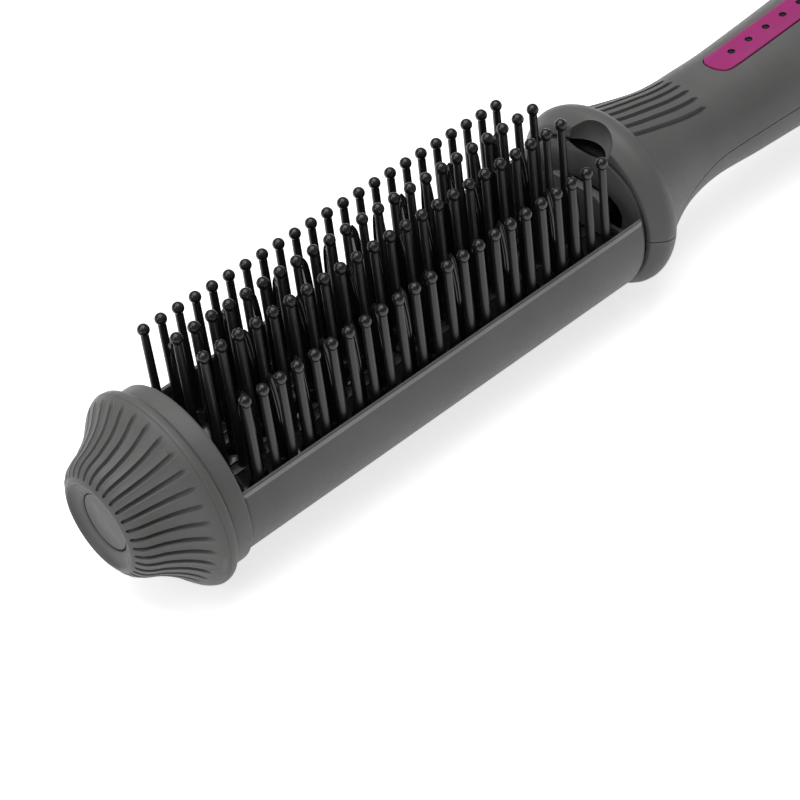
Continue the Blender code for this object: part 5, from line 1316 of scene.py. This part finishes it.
CAMERA_S = -190.465 * MM
CAMERA_Y = -365.41 * MM
CAMERA_HEIGHT = 417.27 * MM
CAMERA_FORWARD = (0.4504, 0.5915, -0.6688)
CAMERA_RIGHT = (0.7343, -0.6715, -0.0994)
CAMERA_LENS = 114.79
LIGHTS = (
    # name, place, size in metres, power in watts
    ("top_light", (-0.1, 0.12, 1.15), 1.2, 11.5),
    ("left_light", (-1.05, 0.15, 0.75), 0.6, 2.2),
)
LIGHT_AIM = (-0.05, 0, 0)
ROOM_STRENGTH = 0.24
WHITE = (1, 1, 1, 1)
FLOOR_HALF = 4
FLOOR_DARK = (0.83, 0.83, 0.83)
FLOOR_LIGHT = (0.86, 0.86, 0.86)
FLOOR_GLOW = 0.71
FLOOR_MIRRORED_SHARE = 0.8


def build_camera():
    """The camera at the photograph's place."""
    data = bpy.data.cameras.new("camera")
    data.lens = CAMERA_LENS
    data.clip_start = 0.01
    data.clip_end = 50
    obj = in_scene("camera", data)
    forward = Vector(CAMERA_FORWARD).normalized()
    right = Vector(CAMERA_RIGHT)
    right = (right - forward * right.dot(forward)).normalized()
    up = right.cross(forward)
    turn = Matrix((right, up, -forward)).transposed().to_4x4()
    spot = Vector((CAMERA_S + CAD_BOX[0].x, CAMERA_Y, CAMERA_HEIGHT))
    obj.matrix_world = Matrix.Translation(spot) @ turn
    bpy.context.scene.camera = obj


def build_light():
    """A big softbox overhead, a weaker one ahead of the nose and a dim room."""
    for name, spot, size, power in LIGHTS:
        data = bpy.data.lights.new(name, "AREA")
        data.shape = "SQUARE"
        data.size = size
        data.energy = power
        obj = in_scene(name, data)
        obj.location = spot
        aim = Vector(LIGHT_AIM) - Vector(spot)
        obj.rotation_euler = aim.to_track_quat("-Z", "Y").to_euler()
    world = bpy.data.worlds.new("room")
    bpy.context.scene.world = world
    world.use_nodes = True
    tree = world.node_tree
    rays = added(tree, "LightPath", {}).outputs
    seen = math_node(tree, "MAXIMUM", rays["Is Camera Ray"], rays["Is Transmission Ray"])
    strength = ranged(tree, seen, ROOM_STRENGTH, 1.0)
    feed(tree.nodes["Background"], {"Strength": strength, "Color": WHITE})


def build_floor():
    """A wide white sweep that keeps the brush's soft shadow."""
    bm = bmesh.new()
    bmesh.ops.create_grid(bm, x_segments=8, y_segments=8, size=FLOOR_HALF)
    floor = to_object("floor", bm)
    material, tree, shader = new_material("white_floor")
    tint = ranged(tree, noise(tree, 3), 0.0, 1.0)
    rays = added(tree, "LightPath", {}).outputs
    mirrored = math_node(tree, "MULTIPLY", rays["Is Glossy Ray"], FLOOR_MIRRORED_SHARE)
    seen = math_node(tree, "MAXIMUM", rays["Is Camera Ray"], mirrored)
    looks = {
        "Base Color": mixed(tree, tint, FLOOR_DARK, FLOOR_LIGHT),
        "Roughness": 0.9,
        "Specular IOR Level": 0.1,
        "Emission Color": WHITE,
        "Emission Strength": ranged(tree, seen, 0.0, FLOOR_GLOW),
    }
    feed(shader, looks)
    floor.data.materials.append(material)


def main():
    """Dress the whole brush and set it on its floor."""
    dress_solids()
    head = (build_tip, build_plug, build_flange, build_barrel, build_bristles)
    head += (build_plate, build_core)
    handle = (build_upper_shell, build_lower_shell, build_control_strip)
    handle += (build_button, build_slider, build_grille, build_gland)
    for build in head + handle + (build_camera, build_light, build_floor):
        build()
    bpy.context.scene.view_settings.view_transform = "Standard"


main()
